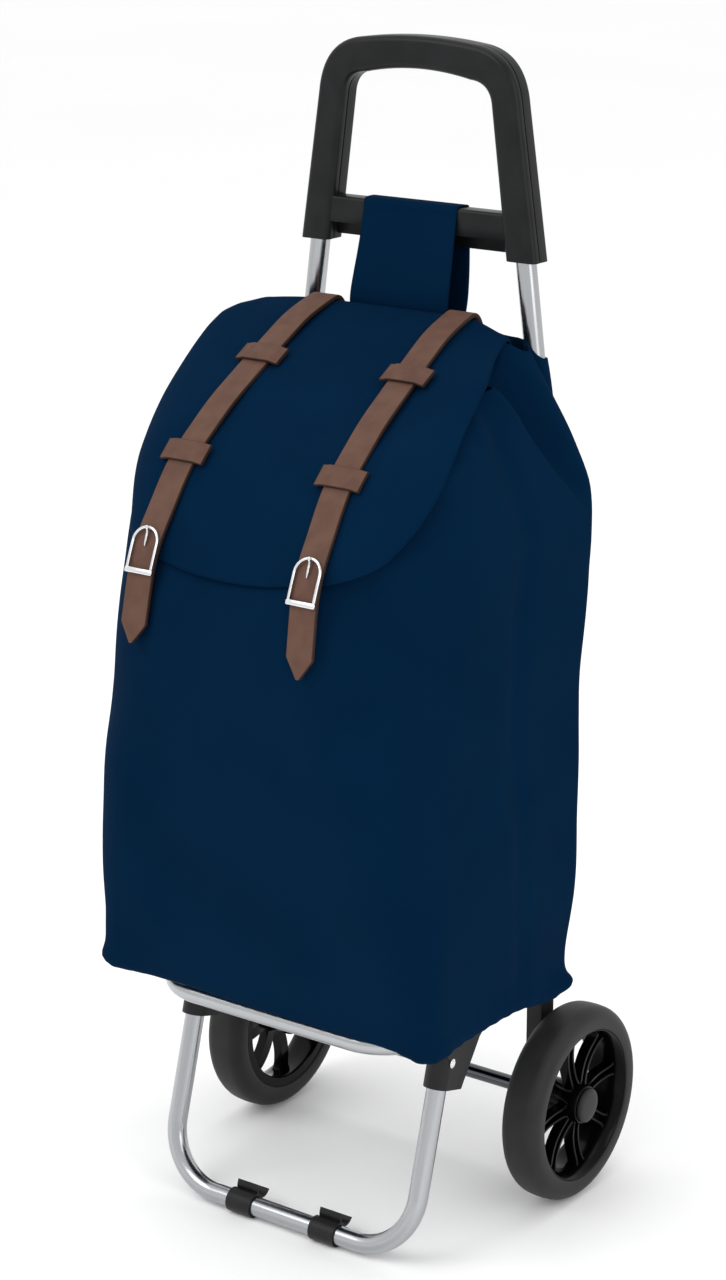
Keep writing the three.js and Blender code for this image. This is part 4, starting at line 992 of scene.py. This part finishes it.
def sleeve(label, side):
    """Cloth tube round the upright: rings along its axis that narrow upwards, with a slanting
    mouth, a sine that winds round it as gathers, and a front that the bag keeps flat."""
    share = np.linspace(0, 1, 44)[:, None]
    angle = np.linspace(0, 2 * math.pi, 56, endpoint=False)[None]
    top = SLEEVE_TOP + SLEEVE_SLANT * np.cos(angle - SLEEVE_HIGH) + 0.8 * np.sin(3 * angle)
    z = SLEEVE_FOOT + (top - SLEEVE_FOOT) * share
    radius = table_of(SLEEVE_RADII, z)[0] + 0.3 * np.sin(0.11 * z + 2 * angle)
    x = side * (TUBE_HALF - leaned(z) + radius * np.cos(angle))
    y = np.maximum(UPRIGHT_Y + radius * np.sin(angle), UPRIGHT_Y - SLEEVE_FRONT)
    axis = (side * 110, UPRIGHT_Y, 640)
    points = np.stack([x, y, z], 2)
    piece = open_sheet(f"{label}_cloth_sleeve", points, NAVY, axis, wrap=True)
    lined(piece, 1.2, LINING)
    fit(piece, "frame", f"{label}_sleeve")


for label, side in SIDES:
    sleeve(label, side)

# ------------------------------------------------------------------ hanging loop

# The loop's line from behind the flap's crest over the bar and down the bag's back: y, height.
LOOP_LINE = [
    (-23.4, 709), (-24.2, 722), (-24.9, 736), (-21, 760), (-15.2, 790), (-12.3, 803),
    (-11.6, 809.5), (-9.5, 812.3), (-2.5, 812.9), (4.4, 812.3), (6.6, 809.5), (7.4, 800),
    (7.4, 780), (6.6, 755), (4.0, 733), (-3.5, 712), (-12, 694), (-15.0, 680), (-14.9, 668),
]
LOOP_HALF, LOOP_MIDDLE = 44.8, -4.8  # its half width, and its middle's x over the bar
LOOP_TOP = 812


def loop():
    """Band over the handle's bar: the side line carried across. Its half width grows and its
    middle shifts to the left down from the bar by a smooth step, and its edges curl by a sixth
    power with a slow sine, which die out over the bar."""
    line = through(LOOP_LINE, 170)
    height = line[:, 1:]
    across = np.linspace(-1, 1, 31)[None]
    along = directions(line)
    over = swell(height, LOOP_TOP, 26)
    wide = smooth_step((790 - height) / 60)
    curl = (0.5 * across**6 + 0.35 * np.sin(5 * across + 0.05 * height)) * (1 - over)
    x = (LOOP_HALF - 0.8 * over + 1.9 * wide) * across + LOOP_MIDDLE - 2.0 * wide
    y = line[:, :1] + along[:, 1:] * curl
    z = height - along[:, :1] * curl
    piece = open_sheet("handle_loop", np.stack([x, y, z], 2), NAVY, (0, -4, 770))
    lined(piece, 1.3)
    return fit(piece, "frame", "hanging_loop")


band = loop()

# ------------------------------------------------------------------ flap

# The drape, which is the flap's line from its tail over the crest and down the front: y, height.
# Shares of it count from 0 at the crest to 1 at its last point.
DRAPE_POINTS = [
    (-26.2, 711), (-27.2, 719), (-29.5, 727.2), (-35, 733.0), (-44, 731.8), (-73, 720.9),
    (-116, 699.7), (-154.4, 675.8), (-205, 640.3), (-234.3, 602.9), (-256, 564.5), (-267.7, 503.4),
]
drape_line = through(DRAPE_POINTS, 1600)
CREST_Y = -35
drape_at = lengths_along(drape_line)
drape_at -= drape_at[np.argmin(np.abs(drape_line[:, 0] - CREST_Y))]
DRAPE_LENGTH = drape_at[-1]
TAIL = -drape_at[0]


def drape(distance):
    """Point, tangent and outward normal of the drape in its middle plane, at distances from the
    crest in millimetres."""

    def at(where):
        return np.stack([np.interp(where, drape_at, column) for column in drape_line.T], -1)

    along = at(distance + 1.5) - at(distance - 1.5)
    along = along / np.linalg.norm(along, axis=-1, keepdims=True)
    return at(distance), along, np.stack([along[..., 1], -along[..., 0]], -1)


def off_drape(distance, x, height):
    """Points off the drape: at x across it and a height out of its face."""
    point, along, out = drape(distance)
    lifted = point + out * np.asarray(height)[..., None]
    return np.stack([x + 0 * lifted[..., 0], lifted[..., 0], lifted[..., 1]], -1)


# Across the flap at shares of the drape: half widths along the cloth at the left and the right,
# and half widths that lie flat before the left and the right side bend down.
FLAP_WIDTHS = [
    (-0.1, 114, 98, 106, 96), (0, 125, 105, 114, 100), (0.05, 142, 108, 126, 103),
    (0.1, 148, 114, 131, 106), (0.16, 149, 123, 129, 108), (0.22, 149, 131, 124, 108),
    (0.3, 148, 137, 117, 108), (0.38, 148, 141, 110, 106), (0.49, 148, 147, 98, 100),
    (0.62, 147, 150, 85, 92), (0.72, 143, 149, 74, 86), (0.83, 138, 146, 66, 86),
]
FLAP_END = 0.83
FLAP_BEND = 58.0  # radius of the sides


def flap_surface():
    """The flap's outer face. Rows run from the tail behind the crest to the free end, which rises
    to the sides by a square and a fifth power; columns run across the cloth. It lies on the drape
    in the middle with two slow sines on top, its sides bend down round an arc, and its two free
    corners are quarter ellipses, a longer one at the right than at the left."""
    across = np.linspace(-1, 1, 110)[None]
    down = np.linspace(0, 1, 96)[:, None]
    size = np.abs(across)
    at_left = across < 0
    end = FLAP_END - np.where(at_left, 0.04, 0.02) * size**2
    end = end - np.where(at_left, 0.03, 0.008) * size**5
    start = -TAIL / DRAPE_LENGTH
    share = start + (end - start) * down
    left, right, flat_left, flat_right = table_of(FLAP_WIDTHS, share)
    half, flat = np.where(at_left, left, right), np.where(at_left, flat_left, flat_right)
    corner = np.where(at_left, 0.84, 0.64)
    last = np.clip((down - corner) / (1 - corner), 0, 1)
    half = half - np.where(at_left, 36, 74) * (1 - np.sqrt(1 - last**2))
    along = half * across
    turn = np.clip(np.abs(along) - flat, 0, None) / FLAP_BEND
    x = np.sign(along) * (np.minimum(flat, np.abs(along)) + FLAP_BEND * np.sin(turn))
    ripple = 0.9 * np.sin(0.03 * along + 9 * share) + 0.6 * np.sin(0.061 * along - 21 * share)
    height = ripple * np.clip(share / 0.06, 0, 1) - FLAP_BEND * (1 - np.cos(turn))
    height = height - 5 * last**2 * size**2
    points = off_drape(share * DRAPE_LENGTH, x, height)
    points[..., 2] -= shoulder_drop(points[..., 0], points[..., 1])
    return points


def flap():
    """The flap: a sheet of cloth that follows the frame up to its crest and turns beyond it."""
    piece = open_sheet("flap_cloth", flap_surface(), NAVY, (0, BAG_CENTRE_Y, 500))
    lined(piece, 2.0, LINING)
    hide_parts("flap")
    return piece


lid = flap()
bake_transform(lid)

# ------------------------------------------------------------------ straps, keepers and buckles

STRAP_WIDTH, STRAP_THICKNESS = 24.0, 3.4
STRAP_POINT = 17  # length over which the tip narrows
KEEPER_WIDTH, KEEPER_THICKNESS = 18.5, 2.6
UPPER_KEEPER, LOWER_KEEPER, BUCKLE = 0.257, 0.566, 0.8  # their shares of the drape


def strap_centre(share):
    """Half spacing of the straps at a share of the drape."""
    return 65 + 14 * np.clip(share, 0, None)


def strap_lift(share):
    """How far the strap bows off the flap between the places where it is held."""
    bow = 1.4 * swell(share, 0.12, 0.05) + 2.2 * swell(share, 0.41, 0.055)
    return 0.6 + bow + 1.6 * np.clip((share - 0.86) / 0.14, 0, 1) ** 2


def strap(label, side):
    """Leather strap: a rectangle with rounded edges carried down the drape, its spacing growing
    downwards and both moved aside near the crest, with a pointed tip."""
    share = np.linspace(-(TAIL - 4) / DRAPE_LENGTH, 1, 190)
    left = DRAPE_LENGTH * (1 - share)
    narrow = np.clip(0.1 + left / STRAP_POINT, 0, 1)[:, None]
    section = rounded_section(STRAP_WIDTH, STRAP_THICKNESS, 0.9)
    aside = -2.5 * (1 - smooth_step(share / 0.5))
    x = (side * strap_centre(share) + aside)[:, None] + section[:, 0] * narrow
    height = strap_lift(share)[:, None] + STRAP_THICKNESS / 2 + section[:, 1]
    distance = np.broadcast_to((share * DRAPE_LENGTH)[:, None], x.shape)
    piece = closed_grid(f"{label}_leather_strap", off_drape(distance, x, height), BROWN)
    flank = np.clip((np.abs(section[:, 0]) - STRAP_WIDTH / 2 + 0.8) / 0.6, 0, 1)
    painted(crisp(piece, 60), np.broadcast_to(flank, x.shape))
    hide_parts(f"{label}_strap")
    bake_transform(piece)


def painted(piece, values):
    """Writes the Edge attribute, point by point."""
    layer = piece.data.attributes.new("Edge", "FLOAT", "POINT")
    layer.data.foreach_set("value", np.ascontiguousarray(values, np.float32).ravel())


def on_strap(points, share, side, height=0.0):
    """Takes points given across, up along the strap and out of it to their place: the origin plus
    each coordinate times its direction."""
    point, along, out = drape(np.array(share * DRAPE_LENGTH))
    origin = np.array([side * strap_centre(share), *(point + out * height)])
    return origin + points @ np.array([(1, 0, 0), (0, *-along), (0, *out)])


def keeper(name, share, side, node_name):
    """Leather bridge over the strap: a thin rounded rectangle carried across, its ends on the flap
    and its middle raised over the strap by a logistic step at each edge."""
    across = np.linspace(-20, 20, 41)
    lift = float(strap_lift(np.array(share)))
    top = 2.9 + 1.9 / (1 + np.exp((np.abs(across) - 15.2) / 1.3))
    section = rounded_section(KEEPER_WIDTH, KEEPER_THICKNESS, 0.7, 3)
    z = top[:, None] + section[:, 1] + lift
    x = np.broadcast_to(across[:, None], z.shape)
    y = np.broadcast_to(section[:, 0], z.shape)
    piece = closed_grid(name, on_strap(np.stack([x, y, z], 2), share, side), BROWN)
    flank = np.clip((np.abs(section[:, 0]) - 8.5) / 0.5, 0, 1)
    flank = np.broadcast_to(flank, z.shape).copy()
    flank[[0, -1]] = 1
    painted(crisp(piece, 50), flank)
    fit(piece, "flap", node_name)


WIRE_RADIUS, PRONG_RADIUS = 1.2, 0.95
ARCH_HALF, ARCH_TOP = 11.4, 7.0  # half width of the arch, and where its round top begins
BUCKLE_BAR = -15.6  # the flat bar, up along the strap from the buckle's middle


def buckle(label, side):
    """Wire arch with a flat bar across its lower end, lying on the strap, and its prong: two
    straights and a half circle, a rounded rectangle carried across, and an eye with a pin that
    tapers."""
    seat = float(strap_lift(np.array(BUCKLE))) + STRAP_THICKNESS + 1.5
    turn = np.linspace(0, math.pi, 33)
    top = np.stack([ARCH_HALF * np.cos(turn), ARCH_TOP + ARCH_HALF * np.sin(turn), 0 * turn], 1)
    rise = np.linspace(BUCKLE_BAR, 6, 8)
    right = np.stack([0 * rise + ARCH_HALF, rise, 0 * rise], 1)
    arch = np.concatenate([right, top, right[::-1] * (-1, 1, 1)])
    arch[:, 2] += 0.5 * np.cos(arch[:, 1] / 12)
    arch = on_strap(arch, BUCKLE, side, seat)
    out = drape(np.array(BUCKLE * DRAPE_LENGTH))[2]
    wire = swept(f"{label}_buckle_arch", arch, ring_of(WIRE_RADIUS, 16), CHROME, (0, *out))
    fit(wire, "flap", f"{label}_buckle")
    across = np.array([-13.0, -12.6, -12, 12, 12.6, 13.0])
    scale = np.array([0.6, 0.9, 1, 1, 0.9, 0.6])[:, None, None]
    section = rounded_section(4.4, 2.4, 1.0) * scale
    x = np.broadcast_to(across[:, None], section.shape[:2])
    bar = np.stack([x, section[..., 0] + BUCKLE_BAR, section[..., 1] + 0.1], 2)
    piece = closed_grid(f"{label}_buckle_bar", on_strap(bar, BUCKLE, side, seat), CHROME)
    fit(crisp(piece, 50), "flap", f"{label}_buckle")
    turn = np.radians(np.linspace(250, -60, 22)[:14:3])
    eye = np.stack([0 * turn, 18.4 + 2.4 * np.cos(turn), 2.3 * np.sin(turn)], 1)
    pin = np.linspace((0, 14.5, 0.4), (0, 1.5, -0.2), 12)[::3]
    prong = on_strap(through(np.concatenate([eye, pin]), 50), BUCKLE, side, seat)
    taper = np.interp(np.linspace(0, 1, 50), [0, 0.85, 1], [1, 1, 0.55])[:, None, None]
    ring = ring_of(PRONG_RADIUS, 12)
    piece = swept(f"{label}_buckle_prong", prong, ring, CHROME, (1, 0, 0), scale=taper)
    fit(piece, f"{label}_prong", f"{label}_prong")


for label, side in SIDES:
    strap(label, side)
    keeper(f"{label}_top_keeper", UPPER_KEEPER, side, f"{label}_upper_keeper")
    keeper(f"{label}_low_keeper", LOWER_KEEPER, side, f"{label}_lower_keeper")
    buckle(label, side)

# ------------------------------------------------------------------ floor, light and camera


def floor_finish():
    """Pale matt floor with a hardly visible drift of tone."""
    made, tree, shader = finish_of("Pale floor", Roughness=0.9, Specular_IOR_Level=0.1)
    drift = noise(tree, object_point(tree), 0.8, 2.0)
    tone = ramp(tree, drift, 0.3, 0.7, (rgb(252, 252, 252), rgb(254, 254, 254)))
    feeds(tree, shader, {"Base Color": tone})
    return made


FLOOR_HALF, FLOOR_LINES = 60000, 13
FLOOR_Z = -0.4  # just under the feet
span = np.linspace(-FLOOR_HALF, FLOOR_HALF, FLOOR_LINES)
floor_x, floor_y = np.meshgrid(span, span)
floor_points = np.stack([floor_x, floor_y, 0 * floor_x + FLOOR_Z], 2)
floor_quads = grid_faces(FLOOR_LINES, FLOOR_LINES, False).tolist()
floor = new_piece("floor", floor_points, floor_quads, floor_finish())
facing(floor, (0, 0, -500))

world = bpy.data.worlds.new("Studio")
bpy.context.scene.world = world
world.use_nodes = True
backdrop = world.node_tree.nodes["Background"]
backdrop.inputs["Color"].default_value = (1, 1, 1, 1)
backdrop.inputs["Strength"].default_value = 1.0


def soft_light(name, position, target_z, width, height, watts):
    """A large area light that looks at the bag at a height."""
    data = bpy.data.lights.new(name, "AREA")
    data.shape = "RECTANGLE"
    data.size, data.size_y = width * MM, height * MM
    data.energy = watts
    lamp = linked(name, data)
    lamp.location = spot(*position)
    away = Vector(spot(*position)) - Vector(spot(0, BAG_CENTRE_Y, target_z))
    lamp.rotation_euler = away.to_track_quat("Z", "Y").to_euler()


soft_light("Key", (-900, -1900, 2300), 450, 1500, 1500, 22)
soft_light("Side", (2400, -600, 1500), 400, 1200, 1800, 13)
soft_light("Top", (0, 300, 2900), 400, 1600, 1600, 9)

CAMERA_PLACE = (1332.31, -1931.37, 1172.54)
CAMERA_AZIMUTH, CAMERA_ELEVATION = math.radians(35.75046), math.radians(17.05827)
camera_data = bpy.data.cameras.new("View")
camera_data.lens = 84.36
camera_data.sensor_width = 36.0
camera_data.clip_end = 200.0
camera = linked("View", camera_data)
camera.location = spot(*CAMERA_PLACE)
level = math.cos(CAMERA_ELEVATION)
ahead = Vector(
    (
        -math.sin(CAMERA_AZIMUTH) * level,
        math.cos(CAMERA_AZIMUTH) * level,
        -math.sin(CAMERA_ELEVATION),
    )
)
camera.rotation_euler = ahead.to_track_quat("-Z", "Y").to_euler()
bpy.context.scene.camera = camera
bpy.context.scene.view_settings.view_transform = "Standard"
